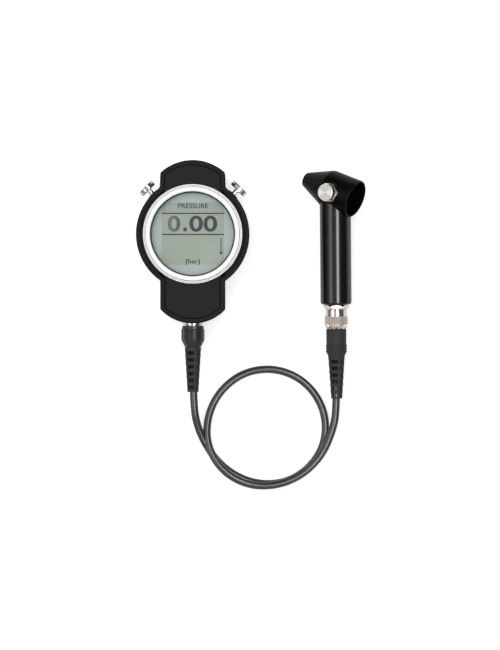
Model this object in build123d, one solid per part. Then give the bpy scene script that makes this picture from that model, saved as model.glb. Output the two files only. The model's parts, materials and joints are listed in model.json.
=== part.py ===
from build123d import *
import os
from math import cos, radians, sin, sqrt, tan

os.makedirs("parts", exist_ok=True)

# Frame: millimetres, +Z up. The gauge lies on its flat back at z = 0 with the dial
# axis on Z, and the top of the dial points along +Y. The probe rests beside it at +X.

# Fits
RUN = 0.05            # radial play of a sliding stem in its bore
TURN_PLAY = 0.1       # radial play of a coupling ring on its spigot
GAP = 0.3             # space kept between pieces that do not touch
STOP_GAP = 0.2        # space left under a button at the end of its travel
SAME = 0.01           # two places nearer than this count as one
EDGE = 0.3            # chamfer of plain small edges
SOFT_EDGE = 0.4       # rounding of small turned edges
GROOVE_SHARE = 0.7    # clip groove radius as a share of its stem

# Dial: the display cell sets the lens, the bezel and the board behind it
LCD_R = 26.6
LCD_Z = 18.2
LCD_T = 2.0
GASKET_W = 0.6
GASKET_Z = 20.3
GASKET_TOP = 23.4
LENS_Z = 21.2
LENS_T = 1.9
BEZEL_IN = LCD_R + 0.2 + GASKET_W
BEZEL_FLAT_IN = BEZEL_IN + 1.1
BEZEL_FLAT_OUT = BEZEL_IN + 2.7
BEZEL_R = BEZEL_IN + 4.7
BEZEL_SKIRT_IN = BEZEL_IN + 0.5
BEZEL_SKIRT_R = BEZEL_IN + 2.1
BEZEL_SKIRT_Z = 18.8
BEZEL_TOP = 24.5
BEZEL_EDGE = 0.9      # height of the plain outer edge
BEZEL_STEPS = 3
BEZEL_STEP_W = 0.37
BEZEL_STEP_H = 0.46
BEZEL_LIP_Z = 23.5
DIAL_HOLE_R = BEZEL_SKIRT_R + 0.1
LCD_FRAME_R = LCD_R + 2.2
LCD_FRAME_TOP_R = LCD_R + 0.7
LCD_FRAME_TOP = 19.8
LCD_FRAME_IN = LCD_R - 2.1
STRIP_W = 2.0
STRIP_Y = LCD_FRAME_IN - 3.0
STRIP_L = 2 * sqrt((LCD_FRAME_IN - GAP) ** 2 - (STRIP_Y + STRIP_W / 2) ** 2)

# Circuit board inside, on posts outside the display
POST_R = 2.2
POST_AT = LCD_FRAME_R + POST_R + 0.2
BOARD_R = POST_AT + 2.0
BOARD_Z = 14.0
BOARD_T = 1.6
BOARD_SCREW_R = 0.9
BOARD_SCREW_HEAD_R = 2.0
BOARD_SCREW_HEAD_T = 1.5
BOARD_SCREW_L = 3.8
CHIPS = [
    ((0.0, 0.0), (10.0, 10.0, 1.4)),
    ((-11.0, 3.0), (3.2, 8.0, 1.0)),
    ((10.5, -2.0), (5.0, 3.2, 1.2)),
    ((9.5, 8.5), (2.0, 1.2, 0.9)),
    ((12.5, 8.5), (2.0, 1.2, 0.9)),
    ((-9.0, -9.0), (3.0, 1.6, 1.1)),
    ((-4.0, -11.0), (3.0, 1.6, 1.1)),
]

# Housing outline in plan, round the circuit board
WALL = 2.2
BODY_R = BOARD_R + 1.3 + WALL
LUG_HALF = 21.0
TOP_APEX = BODY_R + 11.2
TOP_ARC_R = 30.9
BOTTOM_APEX = BODY_R + 21.3
BOTTOM_ARC_R = 28.6
TOP_NECK_R = 4.0
BOTTOM_NECK_R = 1.3
LUG_CORNER_R = 1.6
MIN_CORNER_R = 0.4

# Housing heights and walls
PARTING_Z = 6.0
RIM_Z = 21.4
RIM_BAND = 3.1        # width of the raised rim band
RIM_EDGE_R = 1.2
BACK_EDGE_R = 2.0
COVER_WALL = 3.3
LIP_PLAY = 0.1
LIP_RISE = 1.2
FLOOR = 2.0
PANEL_Z = 20.2        # floor of the panel pocket
PANEL_T = 1.0
PANEL_PLAY = 0.3
PLATE_T = 1.8         # thickness of the plate under the panel
SEAL_IN = 0.9
SEAL_W = 0.8
SEAL_H = 0.8

# Cover screws
SCREW_X = 14.0
SCREW_TOP_Y = TOP_APEX - 11.9
SCREW_BOTTOM_Y = 13.5 - BOTTOM_APEX
SCREW_SPOTS = [
    (-SCREW_X, SCREW_TOP_Y),
    (SCREW_X, SCREW_TOP_Y),
    (-SCREW_X, SCREW_BOTTOM_Y),
    (SCREW_X, SCREW_BOTTOM_Y),
]
SCREW_BOSS_R = 3.2
COVER_BOSS_R = 4.0
SCREW_SINK_R = 3.1
SCREW_SINK_Z = 3.0
SCREW_HEAD_R = 2.8
SCREW_HEAD_T = 1.8
SCREW_R = 1.45
SCREW_HOLE_R = 1.7
SCREW_TIP = 14.0
SCREW_PILOT_TOP = 15.0
SCREW_DOME = 0.45     # head rounding, and its cross recess, as shares of the head
RECESS_W = 0.28
RECESS_L = 1.15
RECESS_DEPTH = 0.55

# Battery compartment: the tray sets the cells inside it and the door over it
TRAY_L = 54.0
TRAY_W = 25.2
TRAY_WALL = 1.2
TRAY_TOP = 13.6
TRAY_ROOF = 0.9
CONTACT_T = 0.5
CONTACT_W = 8.0
CONTACT_REACH = 3.3   # from a contact plate to the flat end of a cell
BULGE_FOOT_R = 3.2
BULGE_TIP_R = 1.45
CELL_R = 5.2
CELL_L = TRAY_L - 2 * (TRAY_WALL + CONTACT_T + CONTACT_REACH)
CELL_Y = 5.7
CELL_Z = 7.3
CELL_NUB_R = 1.9
CELL_NUB_L = 0.9
CELL_EDGE_R = 0.6
DOOR_L = TRAY_L
DOOR_W = TRAY_W + 0.8
DOOR_T = 1.4
DOOR_CORNER_R = 2.5
DOOR_PLAY = 0.2
DOOR_TAB_X = DOOR_L / 2 + 3.2
DOOR_TAB_R = 3.8
HATCH_L = DOOR_L - 4.0
HATCH_W = DOOR_W - 4.0
DOOR_SCREW_R = 1.0
DOOR_SCREW_HEAD_R = 2.2
DOOR_SCREW_HEAD_T = 0.8
DOOR_SCREW_TIP = 5.4
DOOR_BOSS_R = 2.8

# Push buttons, along a radius of the dial in their own frame
BUTTON_ANGLE = 45.0
BUTTON_Z = 10.8
BUTTON_HEAD_R = 5.85
BUTTON_IN = BODY_R + 3.9
BUTTON_OUT = BUTTON_IN + 3.2
BUTTON_EDGE_R = 0.4
BUTTON_BACK_R = 0.3
BUTTON_STEM_R = 1.55
BUTTON_STEM_TIP = BODY_R - 3.8
BUTTON_TRAVEL = 1.9
BUTTON_BOSS_R = 3.65
BUTTON_BOSS_RISE = 0.65
BUTTON_CLIP_R = 3.0
BUTTON_CLIP_IN = BUTTON_STEM_TIP + 0.4
BUTTON_CLIP_T = 0.6
BUTTON_SEAL_R = 2.6
BUTTON_SEAL_T = 1.2
SWITCH_OUT = BUTTON_STEM_TIP - 3.9
SWITCH_IN = SWITCH_OUT - 5.5
SWITCH_W = 6.0
SWITCH_H = 5.4
SWITCH_PIN_R = 1.0
SWITCH_PIN_END = BUTTON_STEM_TIP - BUTTON_TRAVEL - GAP
BUTTON_SPRING_R = 2.35
SPRING_WIRE_R = 0.25
BUTTON_SPRING_TURNS = 4

# Lead sockets: a threaded spigot that a coupling ring turns on
PLUG_Z = 12.4         # height of the gauge socket axis
SPIGOT_R = 5.3
SPIGOT_L = 5.4
SOCKET_BORE = 3.4
BARREL_R = 4.6
SOCKET_SEAT = BOTTOM_APEX - 0.7   # distance of the spot face from the dial axis
SEAT_R = 6.6
COLLAR_R = 6.2
COLLAR_T = 1.85
BARREL_IN = SOCKET_SEAT - 8.3
NUT_FACE = SOCKET_SEAT - 2.8
NUT_T = 3.0
NUT_AF = 11.6
NUT_PAD = 1.5
PIN_R = 0.35
PIN_RING_R = 1.8
PINS = 4
PIN_TAIL = 3.0
CORE_STEP = 4.0       # depth of the contact core inside the spigot mouth
FLANGE_T = 1.5
NOSE_R = 3.3
TAIL_R = 3.0
TAIL_L = 5.5
NECK_R = 4.5

# Gauge coupling ring and bend relief, along the plug axis
G_RING_START = SOCKET_SEAT + COLLAR_T + GAP
G_COLLAR_R = 7.05
G_COLLAR_END = G_RING_START + 2.1
G_KNURL_R = 7.55
G_KNURL_END = G_COLLAR_END + 7.15
G_RING_END = G_KNURL_END + 4.3
G_RING_END_R = 5.45
G_GRIP_R = 5.4
G_GRIP_START = G_RING_END + GAP
G_SLOT_FIRST = G_GRIP_START + 3.85
G_END = G_GRIP_START + 29.2
G_END_R = 3.65
KNURL_TEETH = 48
KNURL_DEPTH = 0.45
SLOT_ROWS = 6
SLOT_PITCH = 4.46
SLOT_H = 2.4
SLOT_ARC = 64.0
SLOT_COLUMNS = 4
SLOT_REACH = 9.0      # how far out the slot cutters run
SLOT_TURN = 20.0     # first column, turned about the plug axis from straight up

# Probe pose: it rests on the small end of its head and on the foot of its handle
PROBE_X = 92.5
PROBE_Y = 28.1
PROBE_YAW = 0.55
PROBE_ROLL = 29.5
HEAD_LEAN = 20.0

# Probe head, along its own axis from the small end
HEAD_SMALL_R = 4.5
HEAD_R = 12.5
HEAD_CONE = 18.4
HEAD_CROSS = 23.2
HEAD_L = 39.0
HEAD_SMALL_EDGE = 0.8
HEAD_RIM_R = 0.7
HEAD_KNEE_R = 1.0
MOUTH_R = 11.4        # cupped mouth at the rim, and at its floor
MOUTH_IN_R = 10.2
MOUTH_FLOOR = 34.6
MOUTH_CORNER_R = 2.0
SEAT_BORE_R = 6.8
SEAL_SEAT = 28.5
SEAL_TOP = 31.3
RETAINER_TOP = MOUTH_FLOOR
CHAMBER_R = 5.0
CHAMBER_START = 20.0
VALVE_R = 4.3
VALVE_FLARE = 0.8
SEAL_IN_R = 2.2
CORE_PIN_R = 1.0
CORE_PIN_FOOT = 15.0
CORE_PIN_TIP = 30.6
AIRWAY_R = 2.0

# Probe handle, along its axis from where it crosses the head axis
HANDLE_R = 10.0
HANDLE_BORE = 8.2
HANDLE_L = 73.8
HANDLE_EDGE_R = 1.6
HANDLE_FOOT_T = 3.2
STUB_END = 20.0
SENSOR_R = 4.8
SENSOR_START = 13.0
SENSOR_END = 19.0
SENSOR_NOSE_L = 2.0
SENSOR_BOARD_W = 9.0
SENSOR_BOARD_T = 1.2
SENSOR_CHIP_AT = 12.0
SENSOR_CHIP_W = 5.0
SENSOR_CHIP_T = 1.2

# Bleed valve, along a line square to the head and the handle
BLEED_AT = 25.5
BLEED_BOSS_R = 7.0
BLEED_SEAT = 12.6
BLEED_TRAVEL = 1.4
BLEED_WELL = 4.2
BLEED_WELL_R = 2.7
BLEED_WELL_STEP = 7.0
BUSH_R = 4.0
BUSH_START = 7.2
BUSH_FLOOR = 10.0
BUSH_TOP = 15.6
BUSH_WELL_R = 3.2
BLEED_HEX_AF = 11.5
BLEED_HEX_TURN = 15.0
BLEED_HEX_T = 1.9
BLEED_R = 5.5
BLEED_FACE = 18.4
BLEED_CAP_T = 1.2
BLEED_SKIRT_R = 4.4
BLEED_SKIRT = BLEED_SEAT + BLEED_HEX_T + BLEED_TRAVEL + STOP_GAP
BLEED_EDGE_R = 0.5
BLEED_STEM_R = 1.5
BLEED_TIP = 5.8
BLEED_CLIP_R = 2.5
BLEED_CLIP_AT = 6.2
BLEED_CLIP_T = 0.6
BLEED_SPRING_R = 2.4
BLEED_SPRING_TURNS = 5

# Probe coupling ring and bend relief, along the handle axis
P_HEX_AF = 14.8
P_HEX_TURN = 30.0     # one flat faces up
P_HEX_T = 2.8
HEX_CROWN_W = 0.5
P_SPIGOT_L = 5.5
P_BARREL_L = 7.0
P_RING_START = HANDLE_L + P_HEX_T + GAP
P_COLLAR_R = 6.8
P_COLLAR_END = P_RING_START + 4.5
P_KNURL_R = 7.55
P_KNURL_END = P_COLLAR_END + 5.5
P_RING_END = P_KNURL_END + 2.7
P_RING_END_R = 6.4
P_GRIP_R = 6.35
P_GRIP_START = P_RING_END + GAP
P_RIB_R = 6.7
P_RIB_START = P_GRIP_START + 10.3
P_RIB_PITCH = 1.7
P_RIB_T = 1.1
P_RIB_RAMP = 0.2
P_RIBS = 3
P_RELIEF = P_RIB_START + 6.8
P_RELIEF_R = 5.3
P_SLOT_FIRST = P_RELIEF + 3.9
P_SLOT_PITCH = 4.4
P_END = P_RELIEF + 28.1
P_END_R = 3.55
P_SLOT_TURN = -8.4

# Lead
CORD_R = 2.5
CORD_PLAY = 0.05
CORD_IN_GAUGE = 26.5  # length of lead inside each strain relief
CORD_IN_PROBE = 19.0
CORD_LEAVE_GAUGE = 8.5
CORD_LEAVE_PROBE = 7.8
CORD_SHARE = 0.45     # share of the shorter run each bend takes
CORD_ROUTE = [
    (3.6, -128.5, 7.0),
    (12.8, -145.2, 3.0),
    (26.0, -157.2, 2.5),
    (42.8, -163.4, 2.5),
    (60.6, -162.2, 2.5),
    (75.6, -153.2, 2.5),
    (85.4, -138.7, 2.5),
    (87.2, -121.3, 2.5),
    (81.2, -105.0, 2.5),
    (68.6, -92.6, 2.5),
    (51.4, -87.0, 2.5),
    (33.2, -89.8, 2.5),
    (18.1, -101.0, 2.5),
    (9.2, -118.0, 2.7),
    (8.8, -137.8, 6.3),
    (19.3, -154.8, 8.6),
    (36.4, -163.9, 8.0),
    (54.9, -163.8, 7.9),
    (71.3, -156.9, 7.9),
    (83.7, -144.6, 7.8),
    (90.9, -128.8, 7.0),
]

LOW = (Align.CENTER, Align.CENTER, Align.MIN)


def rod(radius, start, end):
    """A round bar on the Z axis."""
    return Pos(0, 0, start) * Cylinder(radius, end - start, align=LOW)


def tube(outer, inner, start, end):
    """A plain tube on the Z axis."""
    return rod(outer, start, end) - rod(inner, start, end)


def turned(points):
    """A solid turned about Z from its (radius, height) outline."""
    outline_wire = Polyline(*[(r, 0, z) for r, z in points], close=True)
    return revolve(make_face(outline_wire), Axis.Z)


def hexagon(across_flats, start, end, turn=0):
    """A hexagonal bar on the Z axis, with one corner at a turn from X."""
    shape = RegularPolygon(across_flats / 2, 6, major_radius=False, rotation=turn)
    return Pos(0, 0, start) * extrude(shape, end - start)


def slab(plan, start, end):
    """A plan shape raised from one height to another."""
    return Pos(0, 0, start) * extrude(plan, end - start)


def circles_at(solid, radius, height):
    """The round edges of a solid at one radius and height on the Z axis."""
    found = []
    for edge in solid.edges().filter_by(GeomType.CIRCLE):
        centre = edge.arc_center
        level = abs(centre.Z - height) < SAME
        on_axis = abs(centre.X) < SAME and abs(centre.Y) < SAME
        if level and on_axis and abs(edge.radius - radius) < SAME:
            found.append(edge)
    return found


def spring(radius, wire_r, start, end, turns):
    """A coil spring round the Z axis, its ends within the two heights."""
    height = end - start - 2 * wire_r
    path = Pos(0, 0, start + wire_r) * Helix(height / turns, height, radius)
    section = Plane(path @ 0, z_dir=path % 0) * Circle(wire_r)
    return sweep(section, path)


def outline(inset):
    """The housing outline in plan, moved inward by an even inset."""
    half = LUG_HALF - inset
    disc = Circle(BODY_R - inset)
    top = Pos(0, TOP_APEX / 2) * Rectangle(2 * half, TOP_APEX)
    top &= Pos(0, TOP_APEX - TOP_ARC_R) * Circle(TOP_ARC_R - inset)
    bottom = Pos(0, -BOTTOM_APEX / 2) * Rectangle(2 * half, BOTTOM_APEX)
    bottom &= Pos(0, BOTTOM_ARC_R - BOTTOM_APEX) * Circle(BOTTOM_ARC_R - inset)
    shape = disc + top + bottom
    neck_y = sqrt((BODY_R - inset) ** 2 - half ** 2)
    groups = {"corner": [], "top_neck": [], "bottom_neck": []}
    for vertex in shape.vertices():
        if abs(abs(vertex.X) - half) > SAME:
            continue
        if abs(vertex.Y - neck_y) < SAME:
            groups["top_neck"].append(vertex)
        elif abs(vertex.Y + neck_y) < SAME:
            groups["bottom_neck"].append(vertex)
        else:
            groups["corner"].append(vertex)
    shape = fillet(groups["corner"], max(LUG_CORNER_R - inset, MIN_CORNER_R))
    shape = fillet(nearest(shape, groups["top_neck"]), TOP_NECK_R + inset)
    return fillet(nearest(shape, groups["bottom_neck"]), BOTTOM_NECK_R + inset)


def nearest(shape, wanted):
    """The vertices of a shape that lie where the wanted ones did."""
    found = []
    for vertex in shape.vertices():
        if any(apart(vertex, other) < SAME for other in wanted):
            found.append(vertex)
    return found


def apart(one, other):
    """The distance in plan between two vertices."""
    return sqrt((one.X - other.X) ** 2 + (one.Y - other.Y) ** 2)


def button_place(side):
    """The frame of a push button: Z runs out along a radius of the dial."""
    return Pos(0, 0, BUTTON_Z) * Rot(0, 0, -side * BUTTON_ANGLE) * Rot(-90, 0, 0)


PLUG_PLACE = Pos(0, 0, PLUG_Z) * Rot(90, 0, 0)


def probe_axes(pitch):
    """Unit vectors of the probe at one handle pitch: down, out, bleed and head axis."""
    yaw = radians(PROBE_YAW)
    roll = radians(PROBE_ROLL)
    lean = radians(HEAD_LEAN)
    down = Vector(sin(yaw) * cos(pitch), -cos(yaw) * cos(pitch), -sin(pitch))
    side = Vector(cos(yaw), sin(yaw), 0)
    lift = down.cross(side)
    out = side * cos(roll) + lift * sin(roll)
    bleed = lift * cos(roll) - side * sin(roll)
    head = out * cos(lean) + down * sin(lean)
    return down, out, bleed, head


def foot_height(pitch):
    """Height of the axis crossing when the handle foot touches the floor."""
    reach = HANDLE_L - HANDLE_EDGE_R
    return reach * sin(pitch) + (HANDLE_R - HANDLE_EDGE_R) * cos(pitch) + HANDLE_EDGE_R


def rest_pitch():
    """The handle pitch at which the head's small end touches the floor as well."""
    low, high = 0.0, radians(15)
    for _ in range(40):
        middle = (low + high) / 2
        head = probe_axes(middle)[3]
        reach = HEAD_CROSS - HEAD_SMALL_EDGE
        edge_r = HEAD_SMALL_R
        under = foot_height(middle) - reach * head.Z - edge_r * sqrt(1 - head.Z ** 2)
        if under > 0:
            high = middle
        else:
            low = middle
    return (low + high) / 2


PITCH = rest_pitch()
DOWN, OUT, BLEED, HEAD = probe_axes(PITCH)
CROSSING = Vector(PROBE_X, PROBE_Y, foot_height(PITCH))
HANDLE_PLACE = Plane(origin=CROSSING, x_dir=OUT, z_dir=DOWN).location
HEAD_PLACE = Plane(origin=CROSSING - HEAD * HEAD_CROSS, x_dir=BLEED, z_dir=HEAD).location
BLEED_ORIGIN = CROSSING + HEAD * (BLEED_AT - HEAD_CROSS)
BLEED_PLACE = Plane(origin=BLEED_ORIGIN, x_dir=HEAD, z_dir=BLEED).location


def front_housing():
    """The front half of the housing with its rim, bosses, posts and openings."""
    shell = slab(outline(0), PARTING_Z, RIM_Z)
    shell = fillet(shell.edges().group_by(Axis.Z)[-1], RIM_EDGE_R)
    shell = chamfer(shell.edges().group_by(Axis.Z)[0], EDGE)
    shell -= slab(outline(WALL), PARTING_Z, PANEL_Z - PLATE_T)
    shell -= slab(outline(RIM_BAND), PANEL_Z, RIM_Z)
    shell -= rod(DIAL_HOLE_R, PANEL_Z - PLATE_T, PANEL_Z)
    roof = PANEL_Z - PLATE_T
    for x, y in SCREW_SPOTS:
        shell += Pos(x, y, 0) * rod(SCREW_BOSS_R, PARTING_Z, roof)
        shell -= Pos(x, y, 0) * rod(SCREW_R, PARTING_Z, SCREW_PILOT_TOP)
    for turn in range(4):
        spot = Rot(0, 0, turn * 90) * Pos(POST_AT, 0, 0)
        shell += spot * rod(POST_R, BOARD_Z + BOARD_T, roof)
        shell -= spot * rod(BOARD_SCREW_R, BOARD_Z + BOARD_T, BOARD_Z + BOARD_SCREW_L)
    for side in (-1, 1):
        place = button_place(side)
        boss_top = BODY_R + BUTTON_BOSS_RISE
        shell += place * rod(BUTTON_BOSS_R, BODY_R - WALL / 2, boss_top)
        shell -= place * rod(BUTTON_STEM_R + RUN, BODY_R - 2 * WALL, boss_top)
        seal_top = BODY_R - WALL + BUTTON_SEAL_T
        shell -= place * rod(BUTTON_SEAL_R, BODY_R - 2 * WALL, seal_top)
    pad_half = NUT_AF / 2 + NUT_PAD
    pad_l = BOTTOM_APEX - WALL / 2 - NUT_FACE
    pad_z = roof - PARTING_Z - LIP_RISE - GAP
    pad = Pos(0, -NUT_FACE, roof) * Box(
        2 * pad_half, pad_l, pad_z, align=(Align.CENTER, Align.MAX, Align.MAX))
    shell += pad & slab(outline(WALL / 2), PARTING_Z, roof)
    shell -= PLUG_PLACE * rod(BARREL_R, BARREL_IN, BOTTOM_APEX + WALL)
    shell -= PLUG_PLACE * rod(SEAT_R, SOCKET_SEAT, BOTTOM_APEX + WALL)
    return shell


def back_cover():
    """The back half with its battery hatch, screw wells and sealing groove."""
    cover = slab(outline(0), 0, PARTING_Z)
    cover = fillet(cover.edges().group_by(Axis.Z)[0], BACK_EDGE_R)
    cover = chamfer(cover.edges().group_by(Axis.Z)[-1], EDGE)
    cover -= slab(outline(COVER_WALL), FLOOR, PARTING_Z)
    lip = outline(WALL + LIP_PLAY) - outline(COVER_WALL)
    cover += slab(lip, PARTING_Z, PARTING_Z + LIP_RISE)
    notch = Box(2 * NUT_AF, 4 * WALL, 2 * LIP_RISE, align=LOW)
    cover -= Pos(0, -NUT_FACE, PARTING_Z) * notch
    cover -= seal_shape()
    for x, y in SCREW_SPOTS:
        cover += Pos(x, y, 0) * rod(COVER_BOSS_R, FLOOR / 2, PARTING_Z)
        cover -= Pos(x, y, 0) * rod(SCREW_SINK_R, 0, SCREW_SINK_Z)
        cover -= Pos(x, y, 0) * rod(SCREW_HOLE_R, SCREW_SINK_Z, PARTING_Z)
    cover += Pos(DOOR_TAB_X, 0, 0) * rod(DOOR_BOSS_R, FLOOR / 2, PARTING_Z)
    cover -= slab(door_plan(DOOR_PLAY), 0, DOOR_T)
    hatch = RectangleRounded(HATCH_L, HATCH_W, DOOR_CORNER_R)
    cover -= slab(hatch, DOOR_T, FLOOR)
    return cover - Pos(DOOR_TAB_X, 0, 0) * rod(DOOR_SCREW_R, DOOR_T, PARTING_Z)


def seal_shape():
    """The gasket cord pressed between the two housing halves."""
    loop = outline(SEAL_IN) - outline(SEAL_IN + SEAL_W)
    return slab(loop, PARTING_Z - SEAL_H, PARTING_Z)


def door_plan(play):
    """The plan of the battery door, grown by a play for its recess."""
    plate = RectangleRounded(DOOR_L + 2 * play, DOOR_W + 2 * play, DOOR_CORNER_R)
    return plate + Pos(DOOR_TAB_X, 0) * Circle(DOOR_TAB_R + play)


def battery_door():
    """The flat door over the cells, with a countersink for its screw."""
    door = slab(door_plan(0), 0, DOOR_T)
    door = chamfer(door.edges().group_by(Axis.Z)[0], EDGE)
    spot = Pos(DOOR_TAB_X, 0, 0)
    door -= spot * rod(DOOR_SCREW_HEAD_R + GAP, 0, DOOR_SCREW_HEAD_T)
    return door - spot * rod(DOOR_SCREW_R, DOOR_SCREW_HEAD_T, DOOR_T)


def cross_screw(head_r, head_t, head_z, shank_r, tip):
    """A pan-head screw standing head down, with a cross recess."""
    base = head_z - head_t
    body = rod(head_r, base, head_z)
    body = fillet(circles_at(body, head_r, base), head_t * SCREW_DOME)
    body += rod(shank_r, head_z, tip)
    slot_w = head_r * RECESS_W
    slot_l = head_r * RECESS_L
    depth = head_t * RECESS_DEPTH
    for turn in (0, 90):
        slot = Rot(0, 0, turn) * Box(slot_l, slot_w, 2 * depth)
        body -= Pos(0, 0, base) * slot
    return body


def cover_screws():
    """Four screws that close the housing from the back."""
    screw = cross_screw(SCREW_HEAD_R, SCREW_HEAD_T, SCREW_SINK_Z, SCREW_R, SCREW_TIP)
    return Compound([Pos(x, y, 0) * screw for x, y in SCREW_SPOTS])


def door_screw():
    """The small screw of the battery door."""
    return Pos(DOOR_TAB_X, 0, 0) * cross_screw(
        DOOR_SCREW_HEAD_R, DOOR_SCREW_HEAD_T - 0.1, DOOR_SCREW_HEAD_T,
        DOOR_SCREW_R, DOOR_SCREW_TIP)


def board_screws():
    """Four screws that hold the circuit board up to its posts."""
    solids = []
    for turn in range(4):
        place = Rot(0, 0, turn * 90) * Pos(POST_AT, 0, 0)
        solids.append(place * cross_screw(
            BOARD_SCREW_HEAD_R, BOARD_SCREW_HEAD_T, BOARD_Z,
            BOARD_SCREW_R, BOARD_Z + BOARD_SCREW_L))
    return Compound(solids)


def face_panel():
    """The flat inlay plate round the dial."""
    panel = slab(outline(RIM_BAND + PANEL_PLAY), PANEL_Z, PANEL_Z + PANEL_T)
    return panel - rod(DIAL_HOLE_R, PANEL_Z, PANEL_Z + PANEL_T)


def bezel_ring():
    """The stepped bright ring that holds the lens."""
    base = PANEL_Z + PANEL_T
    points = [
        (BEZEL_SKIRT_IN, BEZEL_SKIRT_Z),
        (BEZEL_SKIRT_R, BEZEL_SKIRT_Z),
        (BEZEL_SKIRT_R, base),
        (BEZEL_R, base),
    ]
    radius = BEZEL_R
    height = base + BEZEL_EDGE
    for _ in range(BEZEL_STEPS):
        points.append((radius, height))
        radius -= BEZEL_STEP_W
        points.append((radius, height))
        height += BEZEL_STEP_H
    points.append((radius, height))
    points.append((BEZEL_FLAT_OUT, BEZEL_TOP))
    points.append((BEZEL_FLAT_IN, BEZEL_TOP))
    points.append((BEZEL_IN, BEZEL_LIP_Z))
    points.append((BEZEL_IN, PANEL_Z))
    points.append((BEZEL_SKIRT_IN, PANEL_Z))
    return turned(points)


def lens_gasket():
    """The thin black ring between the lens and the bezel."""
    return tube(BEZEL_IN, BEZEL_IN - GASKET_W, GASKET_Z, GASKET_TOP)


def dial_lens():
    """The clear window over the display."""
    lens = rod(BEZEL_IN - GASKET_W, LENS_Z, LENS_Z + LENS_T)
    return chamfer(circles_at(lens, BEZEL_IN - GASKET_W, LENS_Z + LENS_T), EDGE)


def lcd_panel():
    """The round display cell."""
    return rod(LCD_R, LCD_Z, LCD_Z + LCD_T)


def lcd_frame():
    """The ring that carries the display above the board."""
    frame = tube(LCD_FRAME_R, LCD_FRAME_IN, BOARD_Z + BOARD_T, LCD_Z)
    return frame + tube(LCD_FRAME_TOP_R, LCD_R, LCD_Z, LCD_FRAME_TOP)


def lcd_strips():
    """Two soft contact strips between the board and the display."""
    height = LCD_Z - BOARD_Z - BOARD_T
    strip = Box(STRIP_L, STRIP_W, height, align=LOW)
    spots = [Pos(0, side * STRIP_Y, BOARD_Z + BOARD_T) for side in (-1, 1)]
    return Compound([spot * strip for spot in spots])


def circuit_board():
    """The round board with its four screw holes."""
    board = rod(BOARD_R, BOARD_Z, BOARD_Z + BOARD_T)
    for turn in range(4):
        spot = Rot(0, 0, turn * 90) * Pos(POST_AT, 0, 0)
        board -= spot * rod(BOARD_SCREW_R, BOARD_Z, BOARD_Z + BOARD_T)
    return board


def board_chips():
    """The processor and the small parts on the board."""
    top = BOARD_Z + BOARD_T
    solids = [Pos(x, y, top) * Box(*size, align=LOW) for (x, y), size in CHIPS]
    return Compound(solids)


def battery_tray():
    """The cradle round the cells, open to the battery door."""
    height = TRAY_TOP - FLOOR
    tray = Pos(0, 0, FLOOR) * Box(TRAY_L, TRAY_W, height, align=LOW)
    inner_l = TRAY_L - 2 * TRAY_WALL
    inner_w = TRAY_W - 2 * TRAY_WALL
    return tray - Pos(0, 0, FLOOR) * Box(inner_l, inner_w, height - TRAY_ROOF, align=LOW)


def battery_cells():
    """Two round cells lying head to tail."""
    cell = rod(CELL_R, -CELL_L / 2, CELL_L / 2)
    cell = fillet(circles_at(cell, CELL_R, CELL_L / 2), CELL_EDGE_R)
    cell += rod(CELL_NUB_R, CELL_L / 2, CELL_L / 2 + CELL_NUB_L)
    solids = []
    for side in (-1, 1):
        place = Pos(0, side * CELL_Y, CELL_Z) * Rot(0, side * 90, 0)
        solids.append(place * cell)
    return Compound(solids)


def battery_contacts():
    """Contact plates at both ends of the cells, with a bulge toward each cell."""
    inner = TRAY_L / 2 - TRAY_WALL
    solids = []
    for end in (-1, 1):
        for side in (-1, 1):
            reach = CELL_NUB_L if side == end else 0
            depth = inner - CONTACT_T - CELL_L / 2 - reach
            plate = rod(CONTACT_W / 2, 0, CONTACT_T)
            bulge = Pos(0, 0, CONTACT_T) * Cone(
                BULGE_FOOT_R, BULGE_TIP_R, depth, align=LOW)
            place = Pos(end * inner, side * CELL_Y, CELL_Z) * Rot(0, -end * 90, 0)
            solids.append(place * (plate + bulge))
    return Compound(solids)


def push_button(side):
    """A mushroom-headed push button on its stem."""
    head = rod(BUTTON_HEAD_R, BUTTON_IN, BUTTON_OUT)
    head = fillet(circles_at(head, BUTTON_HEAD_R, BUTTON_OUT), BUTTON_EDGE_R)
    head = fillet(circles_at(head, BUTTON_HEAD_R, BUTTON_IN), BUTTON_BACK_R)
    stem = rod(BUTTON_STEM_R, BUTTON_STEM_TIP, BUTTON_IN)
    groove = tube(BUTTON_STEM_R, BUTTON_STEM_R * GROOVE_SHARE,
                  BUTTON_CLIP_IN, BUTTON_CLIP_IN + BUTTON_CLIP_T)
    return button_place(side) * (head + (stem - groove))


def button_clip(side):
    """The retaining clip in the stem groove of a push button."""
    clip = tube(BUTTON_CLIP_R, BUTTON_STEM_R * GROOVE_SHARE,
                BUTTON_CLIP_IN, BUTTON_CLIP_IN + BUTTON_CLIP_T)
    mouth = Pos(BUTTON_CLIP_R, 0, BUTTON_CLIP_IN) * Box(
        2 * BUTTON_CLIP_R, BUTTON_STEM_R, 4 * BUTTON_CLIP_T)
    return button_place(side) * (clip - mouth)


def button_spring(side):
    """The return spring of a push button."""
    return button_place(side) * spring(
        BUTTON_SPRING_R, SPRING_WIRE_R, SWITCH_OUT, BUTTON_CLIP_IN, BUTTON_SPRING_TURNS)


def button_seals():
    """The rubber seals round both button stems."""
    solids = []
    for side in (-1, 1):
        bottom = BODY_R - WALL
        seal = tube(BUTTON_SEAL_R, BUTTON_STEM_R + RUN, bottom, bottom + BUTTON_SEAL_T)
        solids.append(button_place(side) * seal)
    return Compound(solids)


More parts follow.
